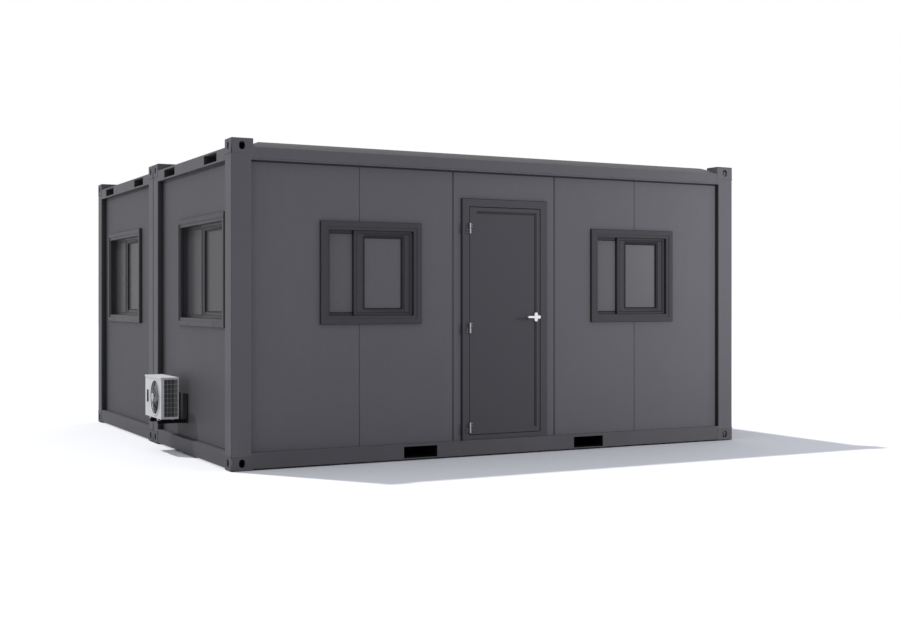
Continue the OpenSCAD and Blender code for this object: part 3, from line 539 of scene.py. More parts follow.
class Effect(Sheet):
    """A shared surface effect: a node group, made at its first use."""

    grey: Colour = (0.5, 0.5, 0.5)
    inputs: dict[str, Values] = {
        "mottle": {"Color": grey, "Amount": 0.1, "Scale": 1.0},
        "peel": {"Roughness": 0.5, "Spread": 0.08, "Scale": 260.0},
        "dust": {"Color": grey, "Dust": (0.33, 0.31, 0.28), "Amount": 0.2, "Height": 0.35},
        "streaks": {"Color": grey, "Mark": (0.3, 0.3, 0.3), "Amount": 0.1},
        "edge_rub": {"Color": grey, "Rubbed": (0.3, 0.3, 0.31), "Amount": 0.3, "Radius": 0.006},
        "inner_skin": {"Color": grey, "Lining": (0.7, 0.7, 0.68), "Half X": 2.3, "Half Y": 2.3},
        "hollow": {"Color": grey, "Inside": (0.02, 0.02, 0.02), "X": 0.0, "Y": 0.0, "Z": 0.0},
        "brushed": {"Roughness": 0.35, "Spread": 0.2}}
    finer: float = 14.0
    broad_share: float = 0.65
    streak_scale: Place = (9.0, 9.0, 0.35)
    brush_scale: Place = (6.0, 6.0, 260.0)

    @classmethod
    def group(cls, name: str) -> bpy.types.NodeTree:
        """The named effect's node group."""
        return bpy.data.node_groups.get(name) or cls(name).tree

    def __init__(self, name: str) -> None:
        """Makes the group's inputs and wires it.

        Args:
            name: The effect.
        """
        super().__init__(bpy.data.node_groups.new(name, "ShaderNodeTree"))
        for key, value in self.inputs[name].items():
            colour = isinstance(value, tuple)
            self._socket(key, "INPUT", colour).default_value = (*value, 1.0) if colour else value
        self.given = self.tree.nodes.new("NodeGroupInput").outputs
        getattr(self, "_" + name)()

    def _socket(self, name: str, way: str, colour: bool) -> bpy.types.NodeTreeInterfaceSocket:
        """Adds a named colour or value to the group's inputs or outputs."""
        kind = "NodeSocketColor" if colour else "NodeSocketFloat"
        return self.tree.interface.new_socket(name, in_out=way, socket_type=kind)

    def _put(self, **outputs: Socket) -> None:
        """Makes the group's outputs.

        Args:
            outputs: What each one puts out.
        """
        for name in outputs:
            self._socket(name, "OUTPUT", name == "Color")
        end = self.tree.nodes.new("NodeGroupOutput")
        for name, socket in outputs.items():
            self.tree.links.new(socket, end.inputs[name])

    def _stain(self, share: Socket, colour: str) -> None:
        """Puts out the colour underneath, with a share of another over it."""
        self._put(Color=self.blend(share, self.given["Color"], self.given[colour]))

    def _swing(self, cloud: Socket, amount: str) -> Socket:
        """Cloudy values drawn about 0, by an amount that is given."""
        return self.times(self.maths("SUBTRACT", cloud, 0.5), self.given[amount])

    def _relief(self, cloud: Socket, height: Socket) -> None:
        """Puts out a relief, and a gloss that wanders."""
        gloss = self.maths("ADD", self.given["Roughness"], self._swing(cloud, "Spread"))
        self._put(Roughness=gloss, Height=height)

    def _mottle(self) -> None:
        """Tone that wanders a little over a painted sheet."""
        where = self.place()
        broad = self.noise(where, self.given["Scale"], detail=2.0)
        fine = self.noise(where, self.times(self.given["Scale"], self.finer), detail=4.0, rough=0.6)
        both = self.maths("ADD", self.times(broad, self.broad_share), self.times(fine, 1 - self.broad_share))
        shade = self.maths("ADD", 1.0, self.times(self._swing(both, "Amount"), 2.0))
        grey = self.add("CombineColor", Red=shade, Green=shade, Blue=shade).outputs[0]
        self._put(Color=self.blend(1.0, self.given["Color"], grey, "MULTIPLY"))

    def _peel(self) -> None:
        """The fine orange-peel of a sprayed coat, and the gloss that wanders with it."""
        where = self.place()
        bumps = self.noise(where, self.given["Scale"], detail=2.0)
        self._relief(self.noise(where, scale=3.1, detail=4.0, rough=0.6), bumps)

    def _dust(self) -> None:
        """Pale dust that thins out upwards from the ground."""
        height = self.maths("DIVIDE", self.axes()["Z"], self.given["Height"])
        fade = self.maths("POWER", self.ramp(height, low=1.0, high=0.0), 2.0)
        cloud = self.ramp(self.noise(self.place(), scale=5.0, detail=6.0, rough=0.65), low=0.3, high=0.75)
        self._stain(self.times(self.times(fade, cloud), self.given["Amount"]), "Dust")

    def _streaks(self) -> None:
        """Faint upright rain marks."""
        marks = self.noise(self.place(self.streak_scale), scale=2.0, detail=5.0, rough=0.6)
        self._stain(self.times(self.ramp(marks, low=0.52, high=0.8), self.given["Amount"]), "Mark")

    def _edge_rub(self) -> None:
        """Paint rubbed paler along outer edges."""
        soft = self.add("Bevel", {"samples": 4}, Radius=self.given["Radius"]).outputs[0]
        turn = self.dot(self.add("NewGeometry").outputs["Normal"], soft)
        patch = self.ramp(self.noise(self.place(), scale=9.0, detail=5.0, rough=0.6), low=0.35, high=0.7)
        mask = self.times(self.ramp(turn, low=0.995, high=0.85), patch)
        self._stain(self.times(mask, self.given["Amount"]), "Rubbed")

    def _inner_skin(self) -> None:
        """The pale lining on the faces of a wall panel that look into the room."""
        axes = self.axes()
        over = [self.maths("SUBTRACT", self.maths("ABSOLUTE", axes[axis]), self.given[f"Half {axis}"])
                for axis in ("X", "Y")]
        self._stain(self.maths("LESS_THAN", self.maths("MAXIMUM", *over), 0.0), "Lining")

    def _hollow(self) -> None:
        """The shade on the faces of a casing that look towards its middle."""
        middle = self.add("CombineXYZ", **{axis: self.given[axis] for axis in "XYZ"}).outputs[0]
        away = self.add("VectorMath", {"operation": "SUBTRACT"}, i0=self.place(), i1=middle).outputs[0]
        facing = self.dot(self.add("NewGeometry").outputs["True Normal"], away)
        self._stain(self.maths("LESS_THAN", facing, 0.0), "Inside")

    def _brushed(self) -> None:
        """Fine lines along a rolled or brushed metal."""
        lines = self.noise(self.place(self.brush_scale), scale=3.0, detail=3.0, rough=0.6)
        self._relief(lines, lines)


class Texture(Enum):
    """The fine relief of a finish."""

    PEEL = "peel"
    BRUSHED = "brushed"


@dataclass(frozen=True)
class Finish:
    """A finish of the cabin, with how much of each surface effect it shows."""

    slot: str
    colour: Colour
    roughness: float = 0.5
    metallic: float = 0.0
    texture: Texture = Texture.PEEL
    relief: float = 0.08
    relief_height: float = 0.001
    spread: float = 0.1
    grain: float = 260.0
    mottle: float = 0.06
    mottle_scale: float = 0.8
    dust: float = 0.0
    streaks: float = 0.0
    streak_gain: float = 1.9
    rub: float = 0.0
    coat: float = 0.0
    specular: float = 0.5
    transmission: float = 0.0
    lining: Optional[Colour] = None
    lining_reach: float = 0.002
    hollow: str = ""
    label: str = ""

    def material(self) -> bpy.types.Material:
        """The finish's material, made at its first use."""
        name = f"{self.label or self.slot}_finish"
        return bpy.data.materials.get(name) or self._make(name)

    def _layers(self) -> dict[str, Values]:
        """The effects that the finish's colour goes through.

        Returns:
            Their names, in turn, with the values of their inputs.
        """
        shown: dict[str, Values] = {"mottle": {"Amount": self.mottle, "Scale": self.mottle_scale}}
        if self.lining:
            shown["inner_skin"] = {"Lining": self.lining,
                                   "Half_X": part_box("right_wall_panels")[0].x + self.lining_reach,
                                   "Half_Y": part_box("rear_wall_panels")[0].y + self.lining_reach}
        if self.streaks > 0:
            paler = tuple(min(1.0, self.streak_gain * c) for c in self.colour)
            shown["streaks"] = {"Mark": paler, "Amount": self.streaks}
        if self.dust > 0:
            shown["dust"] = {"Amount": self.dust}
        if self.rub > 0:
            shown["edge_rub"] = {"Amount": self.rub}
        if self.hollow:
            shown["hollow"] = dict(zip("XYZ", middle_of(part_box(self.hollow))))
        return shown

    def _make(self, name: str) -> bpy.types.Material:
        """Makes the material.

        Args:
            name: Its name.

        Returns:
            The material.
        """
        material = bpy.data.materials.new(name)
        sheet = Sheet.of(material)
        tone: object = self.colour
        for effect, inputs in self._layers().items():
            tone = sheet.effect(effect, Color=tone, **inputs).outputs["Color"]
        fine = {"Scale": self.grain} if self.texture is Texture.PEEL else {}
        relief = sheet.effect(self.texture.value, Roughness=self.roughness, Spread=self.spread,
                              **fine).outputs
        bump = sheet.add("Bump", Height=relief["Height"], Strength=self.relief, Distance=self.relief_height)
        shader = sheet.add("BsdfPrincipled", Base_Color=tone, Roughness=relief["Roughness"],
                           Metallic=self.metallic, Normal=bump.outputs[0], Coat_Weight=self.coat,
                           Specular_IOR_Level=self.specular, Transmission_Weight=self.transmission)
        sheet.add("OutputMaterial", Surface=shader.outputs[0])
        return material


LINING = (0.62, 0.62, 0.6)
FRAME_PAINT = Finish("frame_paint", (0.0905, 0.089, 0.097), 0.46, mottle=0.08, dust=0.1, streaks=0.05,
                     rub=0.3, specular=0.1)
# Painted shade: a darker copy of the frame paint for the bottom castings and rails near the ground.
FRAME_PAINT_SHADED = replace(FRAME_PAINT, colour=(0.077, 0.0757, 0.0825), roughness=0.5, mottle=0.1, dust=0.04,
                     rub=0.25, label="base_paint")
ROOF_PAINT = replace(FRAME_PAINT, colour=(0.056, 0.055, 0.06), roughness=0.5, mottle=0.1, dust=0.0,
                     rub=0.2, label="roof_paint")
PANEL_PAINT = Finish("panel_paint", (0.101, 0.0994, 0.108), 0.55, mottle=0.1, relief=0.1, streaks=0.04,
                     specular=0.05, lining=LINING)
TRIM_PAINT = Finish("trim_paint", (0.0475, 0.0465, 0.0515), 0.42, rub=0.15, specular=0.1)
DOOR_PAINT = Finish("door_paint", (0.058, 0.057, 0.063), 0.45, mottle=0.08, dust=0.05, specular=0.1)
GLASS = Finish("window_glass", (0.109, 0.107, 0.115), 0.28, spread=0.05, relief=0.01, grain=6.0,
               specular=0.03, transmission=0.1)
# Painted shade: the end panes are a darker copy of the same glass, for the shade in their deep reveals.
END_GLASS_SHADED = replace(GLASS, colour=(0.073, 0.0718, 0.0772), label="end_glass")
VINYL = Finish("floor_vinyl", (0.27, 0.26, 0.24), 0.4, grain=500.0, mottle=0.25, mottle_scale=40.0)
LINING_PAINT = Finish("lining", LINING, 0.55, mottle=0.03)
# Real seal rubber, and also the near-black of painted shade laid in reveals, slots and sash steps, and over
# the sides of trims.
RUBBER_AND_SHADE = Finish("seal_rubber", (0.012, 0.012, 0.013), 0.75, mottle=0.15, grain=900.0)
BARE_METAL = Finish("bare_metal", (0.4, 0.4, 0.41), 0.36, metallic=1.0, texture=Texture.BRUSHED)
HANDLE_WHITE = Finish("handle_white", (0.8, 0.8, 0.81), 0.3, mottle=0.02, coat=0.3)
CONDENSER_PAINT = Finish("condenser_paint", (0.66, 0.66, 0.655), 0.42, mottle=0.04, streaks=0.04, rub=0.1,
                         hollow="condenser_casing")
GUARD_WIRE = Finish("condenser_paint", (0.5, 0.5, 0.5), 0.42, mottle=0.04, label="guard_wire")
COIL_FINS = Finish("coil_fins", (0.16, 0.16, 0.165), 0.45, metallic=0.7, texture=Texture.BRUSHED)
MOTOR_PAINT = Finish("motor_paint", (0.014, 0.014, 0.015), specular=0.3)
# Near-black for the condenser brackets, kept black to stand for the deep shade behind the unit, and the
# painted shade in the fork pockets and castings.
BRACKET_AND_SHADE_BLACK = Finish("motor_paint", (0.006, 0.006, 0.0065), 0.65, specular=0.08, label="bracket_paint")
FAN_PLASTIC = Finish("fan_plastic", (0.15, 0.15, 0.155), grain=700.0)
FINISHES = {finish.slot: finish for finish in (
    FRAME_PAINT, PANEL_PAINT, TRIM_PAINT, DOOR_PAINT, GLASS, VINYL, LINING_PAINT, RUBBER_AND_SHADE, BARE_METAL,
    HANDLE_WHITE, CONDENSER_PAINT, COIL_FINS, MOTOR_PAINT, FAN_PLASTIC)}


def dress_nodes() -> None:
    """Gives every CAD node the finish of its slot."""
    for part in frame["record"]["subparts"]:
        node = frame["nodes"][part["node"]]
        node.data.materials.clear()
        node.data.materials.append(FINISHES[part["material_slot"]].material())


@dataclass
class SteelFrame:
    """Castings, posts, rails and roof pans with rounded edges, and weld beads."""

    casting_edges: Rounding = Rounding(0.004, 3, 0.04)
    post_edges: Rounding = Rounding(0.003, 3, 0.02)
    rail_edges: Rounding = Rounding(0.005, 2, 0.03)
    roof_edges: Rounding = Rounding(0.004, 2, 0.03)
    bead: float = 0.0032
    bead_step: float = 0.002
    bead_sides: int = 6
    bead_ripple: float = 0.22
    bead_from: float = 2.0

    def build(self) -> None:
        """Makes all pieces of the frame, those near the ground in a darker copy of the frame paint as painted
        shade.
        """
        for level, paint in (("bottom", FRAME_PAINT_SHADED), ("top", FRAME_PAINT)):
            rounded(f"{level}_castings", paint, self.casting_edges)
            for rail in ("front_{}_rail", "rear_{}_rail", "middle_{}_rails", "end_{}_rails"):
                rounded(rail.format(level), paint, self.rail_edges)
        rounded("corner_posts", FRAME_PAINT, self.post_edges)
        rounded("roof_pans", ROOF_PAINT, self.roof_edges)
        self._beads()

    def _run(self, a: Vector, b: Vector) -> list[Vector]:
        """Points along a weld from one place to another."""
        count = max(2, round((b - a).length / self.bead_step))
        return [a.lerp(b, k / count) for k in range(count + 1)]

    def _beads(self) -> None:
        """Weld beads on the outer sides where posts stand on castings and under them."""
        maker = MeshMaker()
        for low, high in solids_of("corner_posts"):
            sides = [(axis, edge[axis]) for axis in (0, 1) for edge in (low, high)
                     if abs(edge[axis]) >= self.bead_from]
            for height in (low.z, high.z):
                for axis, place in sides:
                    a, b = Vector((low.x, low.y, height)), Vector((high.x, high.y, height))
                    a[axis] = b[axis] = place
                    maker.tube(self._run(a, b), self.bead, self.bead_sides, ripple=self.bead_ripple)
        maker.publish("post_weld_beads", FRAME_PAINT)


@dataclass
class WallSeals:
    """Dark rubber seals where the wall panels meet the rails and the posts, drawn wider and deeper as painted
    shade: the strips under the rails stand for the rails' shadow lines, and the upright strips cover the
    posts' shaded reveals.
    """

    head: float = 0.012
    # Painted shade: the end walls' head strip is wider, for the shadow line under the end top rails.
    end_head: float = 0.018
    foot: float = 0.006
    upright: float = 0.002
    depth: Span = (-0.002, 0.004)
    # Painted shade: the upright strips reach 44 mm out, over the whole shaded reveal beside each post.
    upright_depth: Span = (-0.002, 0.044)
    soft: float = 0.0006

    def build(self) -> None:
        """Makes the seals and painted shade strips of all walls."""
        maker = MeshMaker()
        for side in Side:
            node = side.node("wall_panels")
            for box in solids_of(node) if side.is_end else [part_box(node)]:
                self._edges(maker, WallRect.of(side, box))
        maker.publish("wall_edge_seals", RUBBER_AND_SHADE)

    def _edges(self, maker: MeshMaker, wall: WallRect) -> None:
        """Adds the seals along the edges of a wall; the ends have one at the foot too.

        Args:
            maker: The mesh.
            wall: The wall.
        """
        side, along = wall.side, (wall.left, wall.right)
        depth = about(wall.face, self.depth)
        head = self.end_head if side.is_end else self.head
        maker.bar(side, along, (wall.head - head, wall.head), depth, self.soft)
        if side.is_end:
            maker.bar(side, along, (wall.foot, wall.foot + self.foot), depth, self.soft)
        for left in (wall.left, wall.right - self.upright):
            maker.bar(side, (left, left + self.upright), (wall.foot, wall.head),
                      about(wall.face, self.upright_depth), self.soft)


@dataclass
class WallSkin:
    """The panel round the door in one piece, and the strips over the upright seams."""

    seam_bevel: float = 0.003
    bay_strip: float = 0.016
    strip: float = 0.006
    bay_half: float = 0.6
    depth: Span = (-0.006, 0.0012)

    def build(self) -> None:
        """Makes the panel and the strips of both long walls."""
        self._door_bay()
        maker = MeshMaker()
        for side in (Side.FRONT, Side.REAR):
            panels = solids_of(side.node("wall_panels"))
            if side is Side.FRONT:
                panels.append(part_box("door_side_panels"))
            rects = sorted((WallRect.of(side, box) for box in panels), key=lambda rect: rect.left)
            windows = [WallRect.of(side, box) for box in solids_of(side.node("window_frames"))]
            for a, b in zip(rects, rects[1:]):
                self._seam(maker, (a.right + b.left) / 2, a, windows)
        maker.publish("wall_seam_strips", TRIM_PAINT)

    def _door_bay(self) -> None:
        """The panel that stands on both sides of the door and over it."""
        nodes = ("door_side_panels", "door_header_panel")
        bay, head = (WallRect.of(Side.FRONT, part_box(node)) for node in nodes)
        outline = (
            (bay.left, bay.head), (bay.left, bay.foot), (head.left, bay.foot), (head.left, head.foot),
            (head.right, head.foot), (head.right, bay.foot), (bay.right, bay.foot), (bay.right, bay.head))
        maker = MeshMaker()
        rings = [[Side.FRONT.point(*place, depth) for place in outline] for depth in (bay.back, bay.face)]
        face = maker.skin(rings)[-1]
        maker.bevel([maker.mesh.edges.get(ends) for ends in (face[:2], face[-2:])], self.seam_bevel, steps=1)
        maker.publish("door_bay_panel", PANEL_PAINT, nodes)

    def _seam(self, maker: MeshMaker, along: float, wall: WallRect, windows: Sequence[WallRect]) -> None:
        """Adds the strip over one seam, left out where a window stands.

        Args:
            maker: The mesh.
            along: The seam's place.
            wall: A panel beside it.
            windows: The windows of the wall.
        """
        half = (self.bay_strip if abs(along) < self.bay_half else self.strip) / 2
        runs = [(wall.foot, wall.head)]
        for window in windows:
            if window.left - half < along < window.right + half:
                runs = [(wall.foot, window.foot), (window.head, wall.head)]
        for height in runs:
            maker.bar(wall.side, (along - half, along + half), height, about(wall.face, self.depth), HAIR)


@dataclass
class Hollows:
    """Painted shade: near-black sheets in the slots of the top end rails, the mouths of the fork pockets and
    the castings, where there is only shade.
    """

    slot: Span = (0.36, 0.07)
    slot_depth: float = 0.11
    slot_from_middle: float = 0.64
    pocket_plate: float = 0.006
    pocket_depth: float = 0.5
    casting_wall: float = 0.024
    joint_reach: float = 1.0
    sheet: float = 0.0015
    mouth: float = 0.004
    overlap: float = 0.0004

    def build(self) -> None:
        """Makes all the painted shade sheets."""
        self._slots()
        self._pockets()
        self._castings()

    def _sleeve(self, maker: MeshMaker, hole: WallRect) -> None:
        """Adds a thin dark sleeve of painted shade on the four sides of a hole, from just behind its mouth.
        """
        maker.band(hole.grown(self.overlap), hole.grown(-self.sheet), (hole.back, hole.face - self.mouth))

    def _slots(self) -> None:
        """Painted shade in the slots of the top end rails."""
        maker = MeshMaker()
        half_w, half_h = (size / 2 for size in self.slot)
        for box in solids_of("end_top_rails"):
            rail = WallRect.of(Side.facing(box), box)
            middle, level = (rail.left + rail.right) / 2, (rail.foot + rail.head) / 2
            for along in (middle - self.slot_from_middle, middle + self.slot_from_middle):
                hole = WallRect(rail.side, along - half_w, along + half_w, level - half_h, level + half_h,
                                rail.face - self.slot_depth, rail.face)
                self._sleeve(maker, hole)
                maker.box(hole.corners(hole.back - self.overlap)[0], hole.corners(hole.back + self.sheet)[2])
        maker.publish("rail_slot_linings", RUBBER_AND_SHADE)

    def _pockets(self) -> None:
        """Painted shade in the fork pockets, from the mouth in the long rails inwards."""
        maker = MeshMaker()
        for box in solids_of("fork_pockets"):
            side = Side.FRONT if box[0].y < 0 else Side.REAR
            face = WallRect.of(side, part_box(side.node("bottom_rail"))).face
            tube = WallRect.of(side, box).grown(-self.pocket_plate)
            self._sleeve(maker, replace(tube, back=face - self.pocket_depth, face=face))
        maker.publish("fork_pocket_linings", BRACKET_AND_SHADE_BLACK)

    def _castings(self) -> None:
        """Black plates on the closed inner walls of every casting, as painted shade."""
        maker = MeshMaker()
        wall = Vector((self.casting_wall,) * 3)
        for node in ("bottom_castings", "top_castings"):
            for low, high in solids_of(node):
                middle = middle_of((low, high))
                outer_y = middle.y if abs(middle.y) > self.joint_reach else -middle.y
                closed = (middle.x < 0, outer_y < 0, node == "bottom_castings")
                for axis, at_high in enumerate(closed):
                    a, b = low + wall, high - wall
                    if at_high:
                        a[axis] = b[axis] - self.sheet
                    else:
                        b[axis] = a[axis] + self.sheet
                    maker.box(a, b)
        maker.publish("casting_linings", BRACKET_AND_SHADE_BLACK)


@dataclass
class Windows:
    """Sliding windows: rounded frames and sashes, panes, seals, gaskets round the glass, and drain covers;
    the dark rubber over the trims' sides, in the reveals and at the sash steps is painted shade.
    """

    walls: tuple[str, ...] = ("front", "rear", "end")
    edges: Rounding = Rounding(0.003, 2, 0.02)
    soft: float = 0.0012
    bite: float = 0.0006
    pane_edge: float = 0.0006
    gasket: float = 0.010
    gasket_depth: float = 0.002
    trim_seal: float = 0.004
    # Painted shade: the trim seals cover the trims' sides out to this depth.
    trim_seal_depth: Span = (-0.002, 0.027)
    trim_face: float = 0.065
    reveal_bite: float = 0.0008
    reveal_lining: float = 0.002
    reveal_in: float = 0.010
    brush: float = 0.003
    brush_in: Span = (0.002, 0.003)
    gap: float = 0.005
    gap_depth: Span = (-0.002, 0.0008)
    sash_rim: float = 0.02
    sash_step: float = 0.006
    # Painted shade: the dark line at the sash's step.
    sash_line: float = 0.009
    line_depth: Span = (-0.001, 0.002)
    stile: float = 0.092
    sash_rail: float = 0.055
    lip: float = 0.002
    lip_in: float = 0.001
    # Painted shade: dark strips on the glass's top and one stile only.
    glass_bead: float = 0.022
    bead_depth: Span = (-0.001, 0.003)
    drain: Span = (0.034, 0.009)
    drain_up: float = 0.012
    drain_shares: Span = (0.22, 0.78)
    drain_depth: Span = (-0.001, 0.003)
    drain_soft: float = 0.0025

    def build(self) -> None:
        """Makes the windows of all walls."""
        for wall in self.walls:
            for part in ("frames", "sashes"):
                rounded(f"{wall}_window_{part}", TRIM_PAINT, self.edges)
        self._panes()
        self._trim_seals()
        self._reveal_linings()
        self._sash_seals()
        self._glass_gaskets()

    @staticmethod
    def _rects(node: str) -> list[WallRect]:
        """The solids of a window node, each on its wall."""
        return [WallRect.of(Side.facing(box), box) for box in solids_of(node)]

    def _all(self, part: str) -> list[WallRect]:
        """The frames or the sashes of all windows."""
        return [rect for wall in self.walls for rect in self._rects(f"{wall}_window_{part}")]

    def _panes(self) -> None:
        """Panes with ground edges, those of the ends in a darker copy of the glass as painted shade."""
        long_walls, ends = MeshMaker(), MeshMaker()
        for pane in solids_of("window_glass"):
            maker = ends if Side.facing(pane).is_end else long_walls
            maker.box(*pane, self.pane_edge)
        long_walls.publish("long_wall_panes", GLASS, ["window_glass"], weighted=True)
        ends.publish("end_wall_panes", END_GLASS_SHADED, weighted=True)

    def _trim_seals(self) -> None:
        """Seals between trim and wall, reaching 27 mm out over the trim's sides as painted shade, and drain
        covers in the sill.
        """
        seals, drains = MeshMaker(), MeshMaker()
        wide, tall = self.drain
        for rect in self._all("frames"):
            seals.band(rect.grown(self.trim_seal), rect.grown(-self.soft),
                       about(rect.side.face, self.trim_seal_depth), self.soft)
            foot = rect.foot + self.drain_up
            for share in self.drain_shares:
                left = rect.left + share * (rect.right - rect.left) - wide / 2
                drains.bar(rect.side, (left, left + wide), (foot, foot + tall),
                           about(rect.face, self.drain_depth), self.drain_soft, steps=3)
        seals.publish("window_trim_seals", RUBBER_AND_SHADE)
        drains.publish("window_drain_covers", TRIM_PAINT)

    def _reveal_linings(self) -> None:
        """Near-black sheets in the reveal of every window, from the trim down to the sash, as painted shade.
        """
        maker = MeshMaker()
        sash_face = {sash.side: sash.face for sash in self._all("sashes")}
        for rect in self._all("frames"):
            opening = rect.grown(-self.trim_face)
            maker.band(opening.grown(self.reveal_bite), opening.grown(-self.reveal_lining),
                       (sash_face[rect.side] + HAIR, rect.face - self.reveal_in), HAIR)
        maker.publish("window_reveal_linings", RUBBER_AND_SHADE)

    def _sash_seals(self) -> None:
        """Brush seals on every sash's free stile, the dark joint round it, and a dark line inside its rim
        that is painted shade at the sash's step.
        """
        maker = MeshMaker()
        for sash in self._all("sashes"):
            maker.bar(sash.side, (sash.left - self.brush, sash.left + self.soft), (sash.foot, sash.head),
                      (sash.back - self.brush_in[0], sash.face - self.brush_in[1]), self.soft)
            maker.band(sash.grown(self.bite), sash.grown(-self.gap), about(sash.face, self.gap_depth))
            rim = sash.grown(-self.sash_rim)
            maker.band(rim.grown(self.bite), rim.grown(-self.sash_line),
                       about(sash.face - self.sash_step, self.line_depth), HAIR)
            self._glazing(maker, sash)
        maker.publish("sash_seals", RUBBER_AND_SHADE)

    def _glazing(self, maker: MeshMaker, sash: WallRect) -> None:
        """Adds the rubber lip round a sash's glass, and wide dark strips along the top and one stile only, as
        painted shade of the stepped sash.

        Args:
            maker: The mesh.
            sash: The sash.
        """
        glass = replace(sash, left=sash.left + self.stile, right=sash.right - self.stile,
                        foot=sash.foot + self.sash_rail, head=sash.head - self.sash_rail)
        level = sash.face - 2 * self.sash_step
        maker.band(glass.grown(self.lip / 2), glass.grown(-self.lip / 2),
                   (level - self.sash_step, sash.face - self.lip_in), HAIR)
        depth = about(level, self.bead_depth)
        head = glass.head + self.glass_bead
        side = glass.left - self.glass_bead if sash.side.is_end else glass.right
        maker.bar(sash.side, (side, side + self.glass_bead), (glass.foot, head), depth, HAIR)
        maker.bar(sash.side, (glass.left, glass.right), (glass.head, head), depth, HAIR)

    def _glass_gaskets(self) -> None:
        """Gaskets on both faces of every pane."""
        maker = MeshMaker()
        for pane in self._rects("window_glass"):
            for depth in ((pane.face, pane.face + self.gasket_depth),
                          (pane.back - self.gasket_depth, pane.back)):
                maker.band(pane.grown(-HAIR), pane.grown(-self.gasket), depth, self.soft)
        maker.publish("glass_gaskets", RUBBER_AND_SHADE)


@dataclass
class Entrance:
    """The door: rounded frame and leaf, seals, hinges, the white lever handle, and dark lines on the leaf
    that are painted shade.
    """

    edges: Rounding = Rounding(0.003, 2, 0.02)
    handle_edges: Rounding = Rounding(0.0035, 3)
    trim_seal: float = 0.004
    # Painted shade: the seal covers the trim's sides out to this depth.
    trim_seal_depth: Span = (-0.002, 0.025)
    trim_seal_soft: float = 0.001
    # Painted shade: the dark lines stand for the shade on the top and lock side of the leaf's recessed field;
    # bead is each line's width.
    bead_in: float = 0.032
    bead: float = 0.021
    bead_left: float = 0.071
    bead_foot: float = 0.045
    bead_depth: float = 0.003
    bead_proud: float = 0.0006
    barrel_edge: float = 0.0015
    flap: float = 0.003
    flap_soft: float = 0.0008
    web_gap: float = 0.0025
    web_share: float = 0.6
    screw_shares: Span = (0.25, 0.75)
    screw: Outline = ((0.0, -0.001), (0.0032, -0.001), (0.00256, 0.0012), (0.0, 0.0016))

    def build(self) -> None:
        """Makes the door's pieces."""
        rounded("door_frame", DOOR_PAINT, self.edges)
        rounded("door_leaf", DOOR_PAINT, self.edges, "door")
        rounded("door_handle_plates", HANDLE_WHITE, self.handle_edges, "door", "rounded_handle_plates")
        rounded("door_lever", HANDLE_WHITE, self.handle_edges, "lever")
        self._trim_seal()
        self._leaf_beads()
        self._hinges()

    def _trim_seal(self) -> None:
        """The seal between the door's trim and the wall, reaching out over the trim's sides as painted shade.
        """
        maker = MeshMaker()
        rect = WallRect.of(Side.FRONT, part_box("door_frame"))
        out = rect.grown(self.trim_seal)
        for along, foot in (((out.left, rect.left), rect.foot), ((rect.right, out.right), rect.foot),
                            ((rect.left, rect.right), rect.head)):
            maker.bar(Side.FRONT, along, (foot, out.head), about(Side.FRONT.face, self.trim_seal_depth),
                      self.trim_seal_soft)
        maker.publish("door_trim_seal", RUBBER_AND_SHADE)

    def _leaf_beads(self) -> None:
        """Dark lines along the top and the lock side of the leaf's flat field, on both faces, as painted
        shade of the recessed field.
        """
        maker = MeshMaker()
        leaf = WallRect.of(Side.FRONT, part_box("door_leaf"))
        field = leaf.grown(-self.bead_in)
        lock, top = field.right - self.bead, field.head - self.bead
        for depth in ((leaf.face - self.bead_depth, leaf.face + self.bead_proud),
                      (leaf.back - self.bead_proud, leaf.back + self.bead_depth)):
            maker.bar(leaf.side, (leaf.left + self.bead_left, lock), (top, field.head), depth, HAIR)
            maker.bar(leaf.side, (lock, field.right), (leaf.foot + self.bead_foot, field.head), depth, HAIR)
        maker.publish("door_leaf_beads", RUBBER_AND_SHADE, body="door")

    def _hinges(self) -> None:
        """Bare barrels, and painted flaps with screws, on frame and leaf."""
        axis = Vector(next(joint for joint in frame["joints"] if joint["name"] == "door_hinge")["pos_m"])
        for node, body in (("door_frame_hinges", "cabin"), ("door_leaf_hinges", "door")):
            barrels, flaps, screws = MeshMaker(), MeshMaker(), MeshMaker()
            on_frame = body == "cabin"
            for low, high in solids_of(node):
                radius = high.x - axis.x if on_frame else axis.x - low.x
                tall = (high.z - low.z) / (2 if on_frame else 1)
                head = low.z + tall
                inner = radius - self.barrel_edge
                barrels.lathe((axis.x, axis.y, low.z), UP, (
                    (0.0, 0.0), (inner, 0.0), (radius, self.barrel_edge), (radius, tall - self.barrel_edge),
                    (inner, tall), (0.0, tall)))
                face = high.y - self.flap
                near, far = (low.x, axis.x - radius / 2) if on_frame else (axis.x + radius / 2, high.x)
                flaps.box((near, face, low.z), (far, high.y, head), self.flap_soft)
                web = axis.x - radius if on_frame else axis.x + self.web_gap
                thick = radius * self.web_share if on_frame else radius
                flaps.box((web, axis.y, low.z), (web + thick, high.y, head), self.flap_soft)
                middle = (low.x + axis.x - radius) / 2 if on_frame else (high.x + axis.x + radius) / 2
                for share in self.screw_shares:
                    screws.lathe((middle, face, low.z + share * tall), Side.FRONT.out, self.screw, steps=16)
            barrels.publish(f"{node}_barrels", BARE_METAL, [node], body)
            flaps.publish(f"{node}_flaps", DOOR_PAINT, body=body, weighted=True)
            screws.publish(f"{node}_screws", BARE_METAL, body=body)


